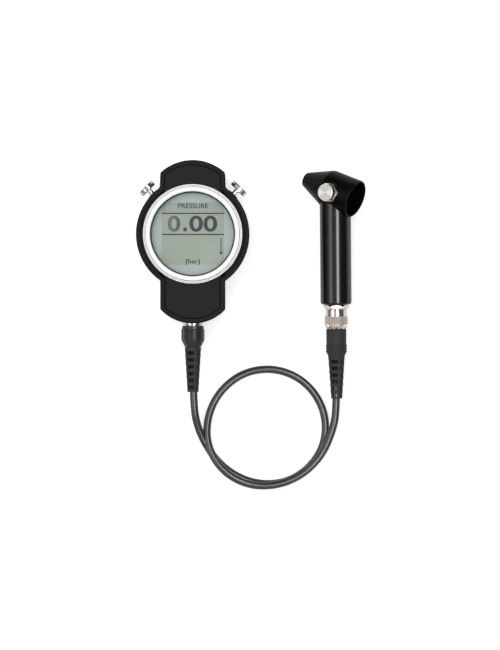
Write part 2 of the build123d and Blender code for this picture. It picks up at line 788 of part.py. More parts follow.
def button_switches():
    """The two side-pressed switches under the board."""
    solids = []
    drop = BOARD_Z - BUTTON_Z - SWITCH_H / 2
    for side in (-1, 1):
        body = Pos(0, -drop, SWITCH_IN) * Box(
            SWITCH_W, SWITCH_H, SWITCH_OUT - SWITCH_IN, align=LOW)
        pin = rod(SWITCH_PIN_R, SWITCH_OUT, SWITCH_PIN_END)
        solids.append(button_place(side) * (body + pin))
    return Compound(solids)


def spigot_socket(seat, collar, spigot_l, barrel_in):
    """A panel socket: a barrel, a collar and a spigot with one bore through them."""
    collar_end = seat + collar[1]
    end = collar_end + spigot_l
    body = rod(BARREL_R, barrel_in, seat)
    body += collar[0]
    spigot = rod(SPIGOT_R, collar_end, end)
    body += chamfer(circles_at(spigot, SPIGOT_R, end), SOFT_EDGE)
    return body - rod(SOCKET_BORE, barrel_in, end)


def contact_core(barrel_in, spigot_end):
    """The insulating core of a socket with its round contact pins."""
    core = rod(SOCKET_BORE, barrel_in, spigot_end - CORE_STEP)
    for index in range(PINS):
        spot = Rot(0, 0, index * 360 / PINS) * Pos(PIN_RING_R, 0, 0)
        core += spot * rod(PIN_R, barrel_in - PIN_TAIL, spigot_end - GAP)
    return core


def plug_core(spigot_end):
    """The inner piece of a plug: a nose with contact holes, a flange and a tail."""
    start = spigot_end - CORE_STEP + GAP
    flange = spigot_end + GAP
    core = rod(NOSE_R, start, flange)
    core += rod(SPIGOT_R - RUN, flange, flange + FLANGE_T)
    core += rod(TAIL_R, flange + FLANGE_T, flange + FLANGE_T + TAIL_L)
    for index in range(PINS):
        spot = Rot(0, 0, index * 360 / PINS) * Pos(PIN_RING_R, 0, 0)
        core -= spot * rod(PIN_R + RUN, start, spigot_end)
    return core


def star(teeth, radius, depth, start, end):
    """A toothed bar on the Z axis."""
    points = []
    for index in range(2 * teeth):
        angle = radians(index * 180 / teeth)
        reach = radius - depth * (index % 2)
        points.append((reach * cos(angle), reach * sin(angle)))
    return slab(make_face(Polyline(*points, close=True)), start, end)


def coupling_ring(start, spigot_end, collar_r, collar_end, knurl_r, knurl_end,
                  end, end_r):
    """A coupling ring: a plain collar, then teeth that fade out over its taper."""
    collar = rod(collar_r, start, collar_end)
    collar = chamfer(circles_at(collar, collar_r, start), EDGE)
    envelope = turned([
        (0, collar_end), (knurl_r - EDGE, collar_end), (knurl_r, collar_end + EDGE),
        (knurl_r, knurl_end), (end_r, end), (0, end)])
    ring = collar + (envelope & star(KNURL_TEETH, knurl_r, KNURL_DEPTH, collar_end, end))
    shoulder = spigot_end + 2 * GAP + FLANGE_T
    ring -= rod(SPIGOT_R + TURN_PLAY, start, shoulder)
    return ring - rod(NECK_R + TURN_PLAY, shoulder, end)


def slot_cutter(inner, outer, height, turn):
    """One curved slot through a bend relief, centred on a turn about Z."""
    face = make_face(Polyline(
        (inner, 0, -height / 2), (outer, 0, -height / 2),
        (outer, 0, height / 2), (inner, 0, height / 2), close=True))
    return Rot(0, 0, turn - SLOT_ARC / 2) * revolve(face, Axis.Z, revolution_arc=SLOT_ARC)


def slotted(sleeve, first, pitch, turn):
    """Cut the rows of slots through a bend relief sleeve."""
    cutters = []
    for row in range(SLOT_ROWS):
        for column in range(SLOT_COLUMNS):
            angle = 90 + turn + column * 360 / SLOT_COLUMNS
            cutter = slot_cutter(CORD_R, SLOT_REACH, SLOT_H, angle)
            cutters.append(Pos(0, 0, first + row * pitch) * cutter)
    return sleeve - cutters


def plug_grip(ring_end, spigot_end, outer, end):
    """The moulded sleeve of a plug, hollow for its core and the lead."""
    neck_start = spigot_end + GAP + FLANGE_T
    grip = rod(NECK_R, neck_start, ring_end + GAP) + outer
    grip -= rod(TAIL_R, neck_start, neck_start + TAIL_L)
    return grip - rod(CORD_R + CORD_PLAY, neck_start + TAIL_L, end)


def gauge_plug_grip():
    """The gauge plug's sleeve and slotted bend relief."""
    start = G_GRIP_START
    outer = turned([
        (0, start), (G_GRIP_R - EDGE, start), (G_GRIP_R, start + EDGE),
        (G_END_R, G_END - SOFT_EDGE), (G_END_R - SOFT_EDGE, G_END), (0, G_END)])
    outer = slotted(outer, G_SLOT_FIRST, SLOT_PITCH, SLOT_TURN)
    return PLUG_PLACE * plug_grip(G_RING_END, GAUGE_SPIGOT_END, outer, G_END)


def probe_plug_grip():
    """The probe plug's sleeve with its ribs and slotted bend relief."""
    start = P_GRIP_START
    points = [(0, start), (P_GRIP_R - EDGE, start), (P_GRIP_R, start + EDGE)]
    for rib in range(P_RIBS):
        foot = P_RIB_START + rib * P_RIB_PITCH
        points += [(P_GRIP_R, foot), (P_RIB_R, foot + P_RIB_RAMP)]
        points += [(P_RIB_R, foot + P_RIB_T), (P_GRIP_R, foot + P_RIB_T + P_RIB_RAMP)]
    last = P_RIB_START + P_RIBS * P_RIB_PITCH
    points += [(P_GRIP_R, last), (P_RELIEF_R, P_RELIEF), (P_END_R, P_END - SOFT_EDGE)]
    points += [(P_END_R - SOFT_EDGE, P_END), (0, P_END)]
    outer = slotted(turned(points), P_SLOT_FIRST, P_SLOT_PITCH, P_SLOT_TURN)
    return HANDLE_PLACE * plug_grip(P_RING_END, PROBE_SPIGOT_END, outer, P_END)


GAUGE_SPIGOT_END = SOCKET_SEAT + COLLAR_T + SPIGOT_L
PROBE_SPIGOT_END = HANDLE_L + P_HEX_T + P_SPIGOT_L


def gauge_socket():
    """The bright panel socket at the foot of the housing."""
    collar = rod(COLLAR_R, SOCKET_SEAT, SOCKET_SEAT + COLLAR_T)
    collar = fillet(circles_at(collar, COLLAR_R, SOCKET_SEAT + COLLAR_T), SOFT_EDGE)
    return PLUG_PLACE * spigot_socket(
        SOCKET_SEAT, (collar, COLLAR_T), SPIGOT_L, BARREL_IN)


def gauge_socket_nut():
    """The nut that clamps the socket from inside."""
    nut = hexagon(NUT_AF, NUT_FACE - NUT_T, NUT_FACE)
    return PLUG_PLACE * (nut - rod(BARREL_R, NUT_FACE - NUT_T, NUT_FACE))


def probe_socket():
    """The bright hexagonal socket at the foot of the handle."""
    nut = hexagon(P_HEX_AF, HANDLE_L, HANDLE_L + P_HEX_T, P_HEX_TURN)
    corner_r = P_HEX_AF / sqrt(3)
    crown = turned([
        (0, HANDLE_L), (corner_r - HEX_CROWN_W, HANDLE_L), (corner_r, HANDLE_L + EDGE),
        (corner_r, HANDLE_L + P_HEX_T - EDGE), (corner_r - HEX_CROWN_W, HANDLE_L + P_HEX_T),
        (0, HANDLE_L + P_HEX_T)])
    return HANDLE_PLACE * spigot_socket(
        HANDLE_L, (nut & crown, P_HEX_T), P_SPIGOT_L, HANDLE_L - P_BARREL_L)


def head_body():
    """The turned outside of the probe head, in place."""
    body = turned([
        (0, 0), (HEAD_SMALL_R - HEAD_SMALL_EDGE, 0), (HEAD_SMALL_R, HEAD_SMALL_EDGE),
        (HEAD_R, HEAD_CONE), (HEAD_R, HEAD_L), (0, HEAD_L)])
    body = fillet(circles_at(body, HEAD_R, HEAD_L), HEAD_RIM_R)
    body = fillet(circles_at(body, HEAD_R, HEAD_CONE), HEAD_KNEE_R)
    return HEAD_PLACE * body


def bleed_boss():
    """The round boss on the head that the bleed bush sits on, in place."""
    return BLEED_PLACE * rod(BLEED_BOSS_R, 0, BLEED_SEAT)


def mouth_cup():
    """The hollow of the cupped mouth, along the head axis."""
    cup = turned([
        (0, MOUTH_FLOOR), (MOUTH_IN_R, MOUTH_FLOOR), (MOUTH_R, HEAD_L), (0, HEAD_L)])
    return fillet(circles_at(cup, MOUTH_IN_R, MOUTH_FLOOR), MOUTH_CORNER_R)


def probe_head():
    """The metal head with its valve mouth, air chamber and threaded stub."""
    head = head_body() + HANDLE_PLACE * rod(HANDLE_BORE, 0, STUB_END)
    head += bleed_boss()
    head -= HEAD_PLACE * mouth_cup()
    head -= HEAD_PLACE * rod(SEAT_BORE_R, SEAL_SEAT, MOUTH_FLOOR)
    head -= HEAD_PLACE * rod(CHAMBER_R, CHAMBER_START, SEAL_SEAT)
    head -= HEAD_PLACE * rod(CORE_PIN_R, CORE_PIN_FOOT, CHAMBER_START)
    head -= HANDLE_PLACE * rod(AIRWAY_R, 0, STUB_END)
    head -= HANDLE_PLACE * rod(SENSOR_R, SENSOR_START, STUB_END)
    head -= BLEED_PLACE * rod(BUSH_R, BLEED_WELL_STEP, BLEED_SEAT)
    return head - BLEED_PLACE * rod(BLEED_WELL_R, BLEED_WELL, BLEED_WELL_STEP)


def valve_seal():
    """The rubber washer that seals on a tyre valve."""
    return HEAD_PLACE * tube(SEAT_BORE_R, SEAL_IN_R, SEAL_SEAT, SEAL_TOP)


def seal_retainer():
    """The ring that holds the washer and guides the valve."""
    ring = turned([
        (VALVE_R, SEAL_TOP), (SEAT_BORE_R, SEAL_TOP), (SEAT_BORE_R, RETAINER_TOP),
        (VALVE_R + VALVE_FLARE, RETAINER_TOP), (VALVE_R, RETAINER_TOP - VALVE_FLARE)])
    return HEAD_PLACE * ring


def core_pin():
    """The pin that presses the valve core open."""
    pin = rod(CORE_PIN_R, CORE_PIN_FOOT, CORE_PIN_TIP)
    return HEAD_PLACE * fillet(circles_at(pin, CORE_PIN_R, CORE_PIN_TIP), SOFT_EDGE)


def probe_handle():
    """The tubular handle, cut to sit on the head."""
    handle = rod(HANDLE_R, 0, HANDLE_L)
    handle = fillet(circles_at(handle, HANDLE_R, HANDLE_L), HANDLE_EDGE_R)
    handle -= rod(HANDLE_BORE, 0, HANDLE_L - HANDLE_FOOT_T)
    handle -= rod(BARREL_R, HANDLE_L - HANDLE_FOOT_T, HANDLE_L)
    return HANDLE_PLACE * handle - head_body() - bleed_boss()


def pressure_sensor():
    """The pressure sensor in the stub of the head."""
    body = rod(SENSOR_R, SENSOR_START, SENSOR_END)
    body += rod(AIRWAY_R, SENSOR_START - SENSOR_NOSE_L, SENSOR_START)
    return HANDLE_PLACE * body


def sensor_board():
    """The narrow board in the handle, with the sensor's amplifier chip."""
    length = HANDLE_L - P_BARREL_L - PIN_TAIL - SENSOR_END
    board = Pos(0, 0, SENSOR_END) * Box(SENSOR_BOARD_W, SENSOR_BOARD_T, length, align=LOW)
    rise = (SENSOR_BOARD_T + SENSOR_CHIP_T) / 2
    chip = Pos(0, rise, SENSOR_END + SENSOR_CHIP_AT) * Box(
        SENSOR_CHIP_W, SENSOR_CHIP_T, SENSOR_CHIP_W)
    return HANDLE_PLACE * (board + chip)


def bleed_bush():
    """The hexagonal bush that guides the bleed button."""
    top = BLEED_SEAT + BLEED_HEX_T
    corner_r = BLEED_HEX_AF / sqrt(3)
    crown = turned([
        (0, BLEED_SEAT), (corner_r, BLEED_SEAT), (corner_r, top - EDGE),
        (corner_r - HEX_CROWN_W, top), (0, top)])
    nut = hexagon(BLEED_HEX_AF, BLEED_SEAT, top, BLEED_HEX_TURN)
    bush = rod(BUSH_R, BUSH_START, BUSH_TOP) + (nut & crown)
    bush -= rod(BUSH_WELL_R, BUSH_FLOOR, BUSH_TOP)
    return BLEED_PLACE * (bush - rod(BLEED_STEM_R + RUN, BUSH_START, BUSH_FLOOR))


def bleed_button():
    """The bright button that lets air out."""
    cap = rod(BLEED_R, BLEED_SKIRT, BLEED_FACE)
    cap = fillet(circles_at(cap, BLEED_R, BLEED_FACE), BLEED_EDGE_R)
    cap -= rod(BLEED_SKIRT_R, BLEED_SKIRT, BLEED_FACE - BLEED_CAP_T)
    stem = rod(BLEED_STEM_R, BLEED_TIP, BLEED_FACE - BLEED_CAP_T)
    groove = tube(BLEED_STEM_R, BLEED_STEM_R * GROOVE_SHARE,
                  BLEED_CLIP_AT, BLEED_CLIP_AT + BLEED_CLIP_T)
    return BLEED_PLACE * (cap + (stem - groove))


def bleed_clip():
    """The clip and poppet that keeps the bleed button in its bush."""
    return BLEED_PLACE * tube(
        BLEED_CLIP_R, BLEED_STEM_R * GROOVE_SHARE, BLEED_CLIP_AT, BLEED_CLIP_AT + BLEED_CLIP_T)


def bleed_spring():
    """The return spring of the bleed button."""
    return BLEED_PLACE * spring(
        BLEED_SPRING_R, SPRING_WIRE_R, BUSH_FLOOR, BLEED_FACE - BLEED_CAP_T,
        BLEED_SPRING_TURNS)


def cord_points():
    """The lead's route: the plug axes at both ends and the chosen points between."""
    first = [
        (0, -(G_END - CORD_IN_GAUGE), PLUG_Z),
        (0, -(G_END + CORD_LEAVE_GAUGE), PLUG_Z),
    ]
    leave = CROSSING + DOWN * (P_END + CORD_LEAVE_PROBE)
    inside = CROSSING + DOWN * (P_END - CORD_IN_PROBE)
    last = [(leave.X, leave.Y, leave.Z), (inside.X, inside.Y, inside.Z)]
    return [Vector(*point) for point in first + CORD_ROUTE + last]


def cord():
    """The round lead: straight runs joined by tangent bends."""
    points = cord_points()
    runs = [(b - a).length for a, b in zip(points, points[1:])]
    radii = []
    for before, here, after in zip(points, points[1:], points[2:]):
        turn = (here - before).get_angle(after - here)
        shorter = min((here - before).length, (after - here).length)
        radii.append(CORD_SHARE * shorter / tan(radians(turn / 2)))
    path = FilletPolyline(*points, radius=radii)
    section = Plane(path @ 0, z_dir=path % 0) * Circle(CORD_R)
    solid = sweep(section, path)
    print("bend radii", [round(r, 1) for r in radii])
    print("runs", [round(r, 1) for r in runs])
    expected = path.length * section.area
    print("lead length", round(path.length, 1), "volume ratio",
          round(solid.volume / expected, 4))
    return solid


def build():
    """Every node of the assembly by name."""
    nodes = {
        "front_housing": front_housing(),
        "back_cover": back_cover(),
        "housing_seal": seal_shape(),
        "battery_door": battery_door(),
        "cover_screws": cover_screws(),
        "door_screw": door_screw(),
        "face_panel": face_panel(),
        "bezel_ring": bezel_ring(),
        "lens_gasket": lens_gasket(),
        "dial_lens": dial_lens(),
        "lcd_panel": lcd_panel(),
        "lcd_frame": lcd_frame(),
        "lcd_strips": lcd_strips(),
        "circuit_board": circuit_board(),
        "board_chips": board_chips(),
        "board_screws": board_screws(),
        "battery_tray": battery_tray(),
        "battery_cells": battery_cells(),
        "battery_contacts": battery_contacts(),
        "button_seals": button_seals(),
        "button_switches": button_switches(),
        "gauge_socket": gauge_socket(),
        "gauge_socket_nut": gauge_socket_nut(),
        "gauge_socket_core": PLUG_PLACE * contact_core(BARREL_IN, GAUGE_SPIGOT_END),
        "gauge_plug_core": PLUG_PLACE * plug_core(GAUGE_SPIGOT_END),
        "gauge_plug_ring": PLUG_PLACE * coupling_ring(
            G_RING_START, GAUGE_SPIGOT_END, G_COLLAR_R, G_COLLAR_END,
            G_KNURL_R, G_KNURL_END, G_RING_END, G_RING_END_R),
        "gauge_plug_grip": gauge_plug_grip(),
        "cord": cord(),
        "probe_plug_grip": probe_plug_grip(),
        "probe_plug_ring": HANDLE_PLACE * coupling_ring(
            P_RING_START, PROBE_SPIGOT_END, P_COLLAR_R, P_COLLAR_END,
            P_KNURL_R, P_KNURL_END, P_RING_END, P_RING_END_R),
        "probe_plug_core": HANDLE_PLACE * plug_core(PROBE_SPIGOT_END),
        "probe_socket_core": HANDLE_PLACE * contact_core(
            HANDLE_L - P_BARREL_L, PROBE_SPIGOT_END),
        "probe_socket": probe_socket(),
        "probe_handle": probe_handle(),
        "probe_head": probe_head(),
        "valve_seal": valve_seal(),
        "seal_retainer": seal_retainer(),
        "core_pin": core_pin(),
        "pressure_sensor": pressure_sensor(),
        "sensor_board": sensor_board(),
        "bleed_bush": bleed_bush(),
        "bleed_button": bleed_button(),
        "bleed_clip": bleed_clip(),
        "bleed_spring": bleed_spring(),
    }
    for name, side in (("left", -1), ("right", 1)):
        nodes[name + "_button"] = push_button(side)
        nodes[name + "_clip"] = button_clip(side)
        nodes[name + "_spring"] = button_spring(side)
    return nodes


for node_name, node_shape in build().items():
    export_step(node_shape, "parts/" + node_name + ".step")
    print(node_name, round(node_shape.volume, 1))
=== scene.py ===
"""Dresses the tire pressure gauge, its lead and its probe, and sets up the studio."""

from __future__ import annotations

import json
import logging
import math
from dataclasses import dataclass, field
from enum import Enum
from typing import Callable, Iterable, Sequence

import bmesh
import bpy
from mathutils import Matrix, Vector
from mathutils.geometry import intersect_line_line


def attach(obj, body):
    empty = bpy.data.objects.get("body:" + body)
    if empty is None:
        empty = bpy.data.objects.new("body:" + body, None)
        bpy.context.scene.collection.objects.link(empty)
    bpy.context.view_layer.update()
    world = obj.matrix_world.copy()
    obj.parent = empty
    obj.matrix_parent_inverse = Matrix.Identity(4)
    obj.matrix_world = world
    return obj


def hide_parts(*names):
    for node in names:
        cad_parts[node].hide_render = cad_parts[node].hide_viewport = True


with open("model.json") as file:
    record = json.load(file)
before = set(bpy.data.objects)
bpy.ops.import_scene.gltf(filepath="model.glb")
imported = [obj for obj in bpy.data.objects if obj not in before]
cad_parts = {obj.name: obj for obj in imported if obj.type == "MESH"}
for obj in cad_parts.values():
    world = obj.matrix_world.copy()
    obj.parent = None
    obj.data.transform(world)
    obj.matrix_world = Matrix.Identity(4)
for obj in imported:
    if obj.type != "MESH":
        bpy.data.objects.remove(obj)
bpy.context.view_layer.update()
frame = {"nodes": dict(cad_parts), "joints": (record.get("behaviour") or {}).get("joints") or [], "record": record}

MM = 0.001
SAME = 0.004          # two places nearer than this, in millimetres, count as one
WHITE = (1.0, 1.0, 1.0, 1.0)
LETTER_RISE = 0.002   # half the thickness of lettering as it is set
LETTER_STRETCH = 5.0  # how far that thickness is stretched to millimetres
LOG = logging.getLogger("gauge")

Point2 = tuple[float, float]
Point3 = tuple[float, float, float]
Tap = tuple[bpy.types.Node, str]     # a node and one of its outputs
Fill = dict[str | int, object]       # what fills each socket of a node


class Body(str, Enum):
    """The rigid bodies that the pieces ride on."""

    GAUGE = "gauge"
    LEFT_BUTTON = "left_button"
    RIGHT_BUTTON = "right_button"
    BLEED_BUTTON = "bleed_button"
    GAUGE_RING = "gauge_plug_ring"
    PROBE_RING = "probe_plug_ring"


def linear(level: float) -> float:
    """One display level from 0 to 255 as a linear value."""
    share = level / 255
    return share / 12.92 if share <= 0.04045 else ((share + 0.055) / 1.055) ** 2.4


def shade(red: float, green: float, blue: float) -> tuple[float, float, float, float]:
    """A display colour as the linear colour that a shader socket takes."""
    return (linear(red), linear(green), linear(blue), 1.0)


def put(name: str, data: bpy.types.ID) -> bpy.types.Object:
    """Hangs a mesh, curve, light or camera in the scene.

    Args:
        name: The new object's name.
        data: What it holds.

    Returns:
        The new object.
    """
    made = bpy.data.objects.new(name, data)
    bpy.context.scene.collection.objects.link(made)
    return made


# Shared shader effects


def make_group(name: str, inputs: Sequence[tuple[str, float]], outputs: Sequence[str],
               wire: Callable[[bpy.types.NodeTree], None]) -> bpy.types.NodeTree:
    """Builds a shader node group once.

    Args:
        name: The group's name.
        inputs: Name and default of each value input.
        outputs: Name of each value output.
        wire: Adds the nodes between the group's input and output nodes.

    Returns:
        The node group.
    """
    if name in bpy.data.node_groups:
        return bpy.data.node_groups[name]
    tree = bpy.data.node_groups.new(name, "ShaderNodeTree")
    for label, default in inputs:
        socket = tree.interface.new_socket(label, in_out="INPUT", socket_type="NodeSocketFloat")
        socket.default_value = default
    for label in outputs:
        tree.interface.new_socket(label, in_out="OUTPUT", socket_type="NodeSocketFloat")
    wire(tree)
    return tree


def add(tree: bpy.types.NodeTree, kind: str, sockets: Fill | None = None,
        **settings: object) -> bpy.types.Node:
    """Adds a node, sets its plain properties and fills its sockets.

    Args:
        tree: The tree it goes into.
        kind: The node's type.
        sockets: What fills each socket, as feed takes it.
        settings: The plain properties.

    Returns:
        The node.
    """
    node = tree.nodes.new(kind)
    for key, value in settings.items():
        setattr(node, key, value)
    feed(tree, node, sockets or {})
    return node


def feed(tree: bpy.types.NodeTree, node: bpy.types.Node, sockets: Fill) -> None:
    """Fills sockets of a node.

    Args:
        tree: The tree it belongs to.
        node: The node.
        sockets: For each socket a value, or the node and the output that feed it.
    """
    for key, given in sockets.items():
        if isinstance(given, tuple) and isinstance(given[0], bpy.types.Node):
            tree.links.new(given[0].outputs[given[1]], node.inputs[key])
        else:
            node.inputs[key].default_value = given


def calc(tree: bpy.types.NodeTree, operation: str, *values: object, clamp: bool = False) -> Tap:
    """Adds one step of arithmetic.

    Args:
        tree: The tree it goes into.
        operation: What it does.
        values: Numbers, or the nodes and outputs that give them.
        clamp: Whether the result stays between 0 and 1.

    Returns:
        The node and its output.
    """
    return add(tree, "ShaderNodeMath", dict(enumerate(values)), operation=operation,
               use_clamp=clamp), "Value"


def along(tree: bpy.types.NodeTree, vector: Tap, way: Point3) -> Tap:
    """How far a vector reaches along a way."""
    return add(tree, "ShaderNodeVectorMath", {0: vector, 1: way}, operation="DOT_PRODUCT"), "Value"


def ramp(tree: bpy.types.NodeTree, value: Tap, low: float, high: float = 1.0) -> Tap:
    """A soft step from 0 to 1 while a value goes from low to high."""
    return add(tree, "ShaderNodeMapRange", {"Value": value, "From Min": low, "From Max": high},
               interpolation_type="SMOOTHSTEP"), "Result"


def blend(tree: bpy.types.NodeTree, factor: Tap, low: Point3, high: Point3) -> Tap:
    """A colour between two, given as display levels."""
    return add(tree, "ShaderNodeMix", {"Factor": factor, "A": shade(*low), "B": shade(*high)},
               data_type="RGBA"), "Result"


def spot(tree: bpy.types.NodeTree) -> Tap:
    """The place on the object."""
    return add(tree, "ShaderNodeTexCoord"), "Object"


def wire_grain(tree: bpy.types.NodeTree) -> None:
    """The fine pebbled grain of a moulding, as a height from 0 to 1.

    Args:
        tree: The group's tree.
    """
    scale = add(tree, "NodeGroupInput"), "Scale"
    place = spot(tree)
    coarse = add(tree, "ShaderNodeTexNoise",
                 {"Vector": place, "Scale": scale, "Detail": 2.0, "Roughness": 0.6})
    fine = add(tree, "ShaderNodeTexVoronoi", {"Vector": place, "Scale": scale},
               feature="SMOOTH_F1")
    add(tree, "NodeGroupOutput",
        {"Height": calc(tree, "MULTIPLY", (coarse, "Fac"), (fine, "Distance"))})


def wire_sheen(tree: bpy.types.NodeTree) -> None:
    """Slow patches of slightly different gloss, as a roughness value.

    Args:
        tree: The group's tree.
    """
    start = add(tree, "NodeGroupInput")
    patches = add(tree, "ShaderNodeTexNoise",
                  {"Vector": spot(tree), "Scale": 90.0, "Detail": 4.0})
    spread = calc(tree, "SUBTRACT", (patches, "Fac"), 0.5)
    swing = calc(tree, "MULTIPLY", spread, (start, "Swing"))
    add(tree, "NodeGroupOutput",
        {"Roughness": calc(tree, "ADD", swing, (start, "Roughness"), clamp=True)})


@dataclass(frozen=True)
class Finish:
    """One surface finish.

    Attributes:
        name: The material's name.
        colour: Display colour levels from 0 to 255.
        roughness: Middle roughness.
        metallic: 1 for bare metal.
        swing: How far the roughness wanders.
        grain: Height of the moulded grain in millimetres.
        grain_size: Size of one grain in millimetres.
        coat: Weight of a clear coat.
        coat_roughness: Roughness of that coat.
        specular: Strength of the plain reflection.
        transmission: 1 for clear glass.
        ior: Refractive index.
        glow: Light the surface adds of its own colour, as a share.
    """

    name: str
    colour: Point3
    roughness: float
    metallic: float = 0.0
    swing: float = 0.0
    grain: float = 0.0
    grain_size: float = 0.5
    coat: float = 0.0
    coat_roughness: float = 0.1
    specular: float = 0.5
    transmission: float = 0.0
    ior: float = 1.5
    glow: float = 0.0

    def material(self) -> bpy.types.Material:
        """Builds the finish as a material on first use.

        Returns:
            The material.
        """
        if self.name in bpy.data.materials:
            return bpy.data.materials[self.name]
        made = bpy.data.materials.new(self.name)
        made.use_nodes = True
        tree = made.node_tree
        shader = tree.nodes["Principled BSDF"]
        feed(tree, shader, {
            "Base Color": shade(*self.colour), "Roughness": self.roughness,
            "Metallic": self.metallic, "Coat Weight": self.coat,
            "Coat Roughness": self.coat_roughness, "Specular IOR Level": self.specular,
            "Transmission Weight": self.transmission, "IOR": self.ior})
        if self.glow:
            feed(tree, shader, {"Emission Color": shade(*self.colour),
                                "Emission Strength": self.glow})
        if self.swing:
            group = make_group("handled sheen", [("Roughness", 0.4), ("Swing", 0.1)],
                               ["Roughness"], wire_sheen)
            sheen = add(tree, "ShaderNodeGroup",
                        {"Roughness": self.roughness, "Swing": self.swing}, node_tree=group)
            feed(tree, shader, {"Roughness": (sheen, "Roughness")})
        if self.grain:
            group = make_group("moulded grain", [("Scale", 1500.0)], ["Height"], wire_grain)
            grain = add(tree, "ShaderNodeGroup", {"Scale": 1 / (self.grain_size * MM)},
                        node_tree=group)
            bump = add(tree, "ShaderNodeBump",
                       {"Distance": self.grain * MM, "Height": (grain, "Height")})
            feed(tree, shader, {"Normal": (bump, "Normal")})
        feed(tree, shader, self.extra(tree))
        return made

    def extra(self, tree: bpy.types.NodeTree) -> Fill:
        """What else a finish of its own kind feeds into its shader."""
        return {}


@dataclass(frozen=True)
class ClearGlass(Finish):
    """A clear window that lets the studio light through to what lies under it."""

    def extra(self, tree: bpy.types.NodeTree) -> Fill:
        """Opens the window to shadow rays and to soft light.

        Args:
            tree: The material's tree.

        Returns:
            What fills the shader's sockets.
        """
        path = add(tree, "ShaderNodeLightPath")
        passed = calc(tree, "ADD", (path, "Is Shadow Ray"), (path, "Is Diffuse Ray"), clamp=True)
        return {"Alpha": calc(tree, "SUBTRACT", 1.0, passed)}


@dataclass(frozen=True)
class PaintedTurnedSheen(Finish):
    """A face turned on a lathe, with the bow tie of light its fine rings catch painted into its colour as a
    highlight.

    Attributes:
        shine: Display colour of the painted highlight where the rings catch the light.
        centre: The face's centre in millimetres.
        across: The way the bow tie opens.
        tight: How narrow it is, from 0 to 1.
    """

    shine: Point3 = (232, 230, 227)
    centre: Point3 = (0.0, 0.0, 0.0)
    across: Point3 = (1.0, 0.0, 0.0)
    tight: float = 0.72

    def extra(self, tree: bpy.types.NodeTree) -> Fill:
        """Paints a highlight, lightening the colour toward both sides of the centre.

        Args:
            tree: The material's tree.

        Returns:
            What fills the shader's sockets.
        """
        centre = [level * MM for level in self.centre]
        offset = add(tree, "ShaderNodeVectorMath", {0: spot(tree), 1: centre},
                     operation="SUBTRACT")
        way = add(tree, "ShaderNodeVectorMath", {0: (offset, "Vector")}, operation="NORMALIZE")
        size = calc(tree, "ABSOLUTE", along(tree, (way, "Vector"), self.across))
        return {"Base Color": blend(tree, ramp(tree, size, self.tight), self.colour, self.shine)}


@dataclass(frozen=True)
class FadedInk(Finish):
    """Display segments that pale toward the left, as such displays do off their axis.

    Attributes:
        pale: Display colour at the pale end.
        pale_x: Where that end is, in millimetres.
        dark_x: Where the ink is fully dark.
    """

    pale: Point3 = (122, 124, 126)
    pale_x: float = -14.0
    dark_x: float = -5.0

    def extra(self, tree: bpy.types.NodeTree) -> Fill:
        """Blends the ink from pale to dark along X.

        Args:
            tree: The material's tree.

        Returns:
            What fills the shader's sockets.
        """
        split = add(tree, "ShaderNodeSeparateXYZ", {"Vector": spot(tree)})
        reach = add(tree, "ShaderNodeMapRange",
                    {"Value": (split, "X"), "From Min": self.pale_x * MM,
                     "From Max": self.dark_x * MM})
        return {"Base Color": blend(tree, (reach, "Result"), self.pale, self.colour)}


HOUSING_BLACK = Finish("housing moulding", (29, 29, 29), 0.5, swing=0.06, grain=0.02,
                       grain_size=0.35, specular=0.08)
# Painted shade: the housing's walls, rounded edges and the groove by the panel are darker than the face because
# less light reaches them.
HOUSING_SIDE_SHADE = Finish("housing side painted shade", (14, 14, 14), 0.52, swing=0.06, grain=0.02,
                      grain_size=0.35, specular=0.1)
PANEL_BLACK = Finish("panel inlay", (40, 40, 39), 0.62, swing=0.05, grain=0.03,
                     grain_size=0.45, specular=0.05)
BEZEL_BRIGHT = Finish("bezel metal", (253, 253, 254), 0.42, metallic=0.15)
BEZEL_SATIN = Finish("bezel satin band", (249, 249, 250), 0.5, metallic=0.15)
# Painted shade: the sloped risers between the bezel's steps, darker because shade falls there.
BEZEL_GROOVE_SHADE = Finish("bezel groove painted shade", (92, 87, 87), 0.5, metallic=0.4)
NICKEL = Finish("nickel plate", (226, 219, 212), 0.19, metallic=1.0)
# Painted highlight: the bleed cap's rim chamfer in a near-white that shows bright whatever it faces.
CAP_EDGE_HIGHLIGHT = Finish("cap edge painted highlight", (242, 240, 237), 0.4, metallic=0.3)
KNURLED_NICKEL = Finish("knurled nickel", (192, 179, 172), 0.5, metallic=0.2, grain=0.12,
                        grain_size=0.5, specular=0.3)
RING_BLACK = Finish("ring moulding", (42, 40, 39), 0.36, specular=0.5)
LENS_CLEAR = ClearGlass("clear lens", (250, 252, 252), 0.02, transmission=1.0, ior=1.45)
# Both display finishes glow a little: painted light that lifts the display against the shade of the bezel around
# it.
DISPLAY_PALE_GLOWING = Finish("display surround painted glow", (172, 183, 178), 0.6, specular=0.1, glow=0.16)
DISPLAY_ACTIVE_GLOWING = Finish("display active area painted glow", (158, 167, 156), 0.6, specular=0.1,
                        glow=0.16)
DISPLAY_INK = FadedInk("display segments", (78, 78, 83), 0.6, specular=0.1)
LINE_INK = Finish("display lines", (58, 60, 62), 0.6, specular=0.1)
SEAL_BLACK = Finish("black seal", (14, 14, 15), 0.6, specular=0.2)
GRIP_RUBBER = Finish("grip moulding", (60, 58, 56), 0.6, swing=0.06, grain=0.015,
                     grain_size=0.4, specular=0.12)
# Painted shade: a matte near-black for the inside of the head's cup mouth, where shade falls.
CUP_SHADE = Finish("cup painted shade", (2, 2, 2), 0.6, swing=0.02, specular=0.02)
# Painted dark reflection on the bright buttons' chamfers.
DARK_EDGE_REFLECTION = Finish("button edge painted dark reflection", (92, 79, 69), 0.5, metallic=0.2)
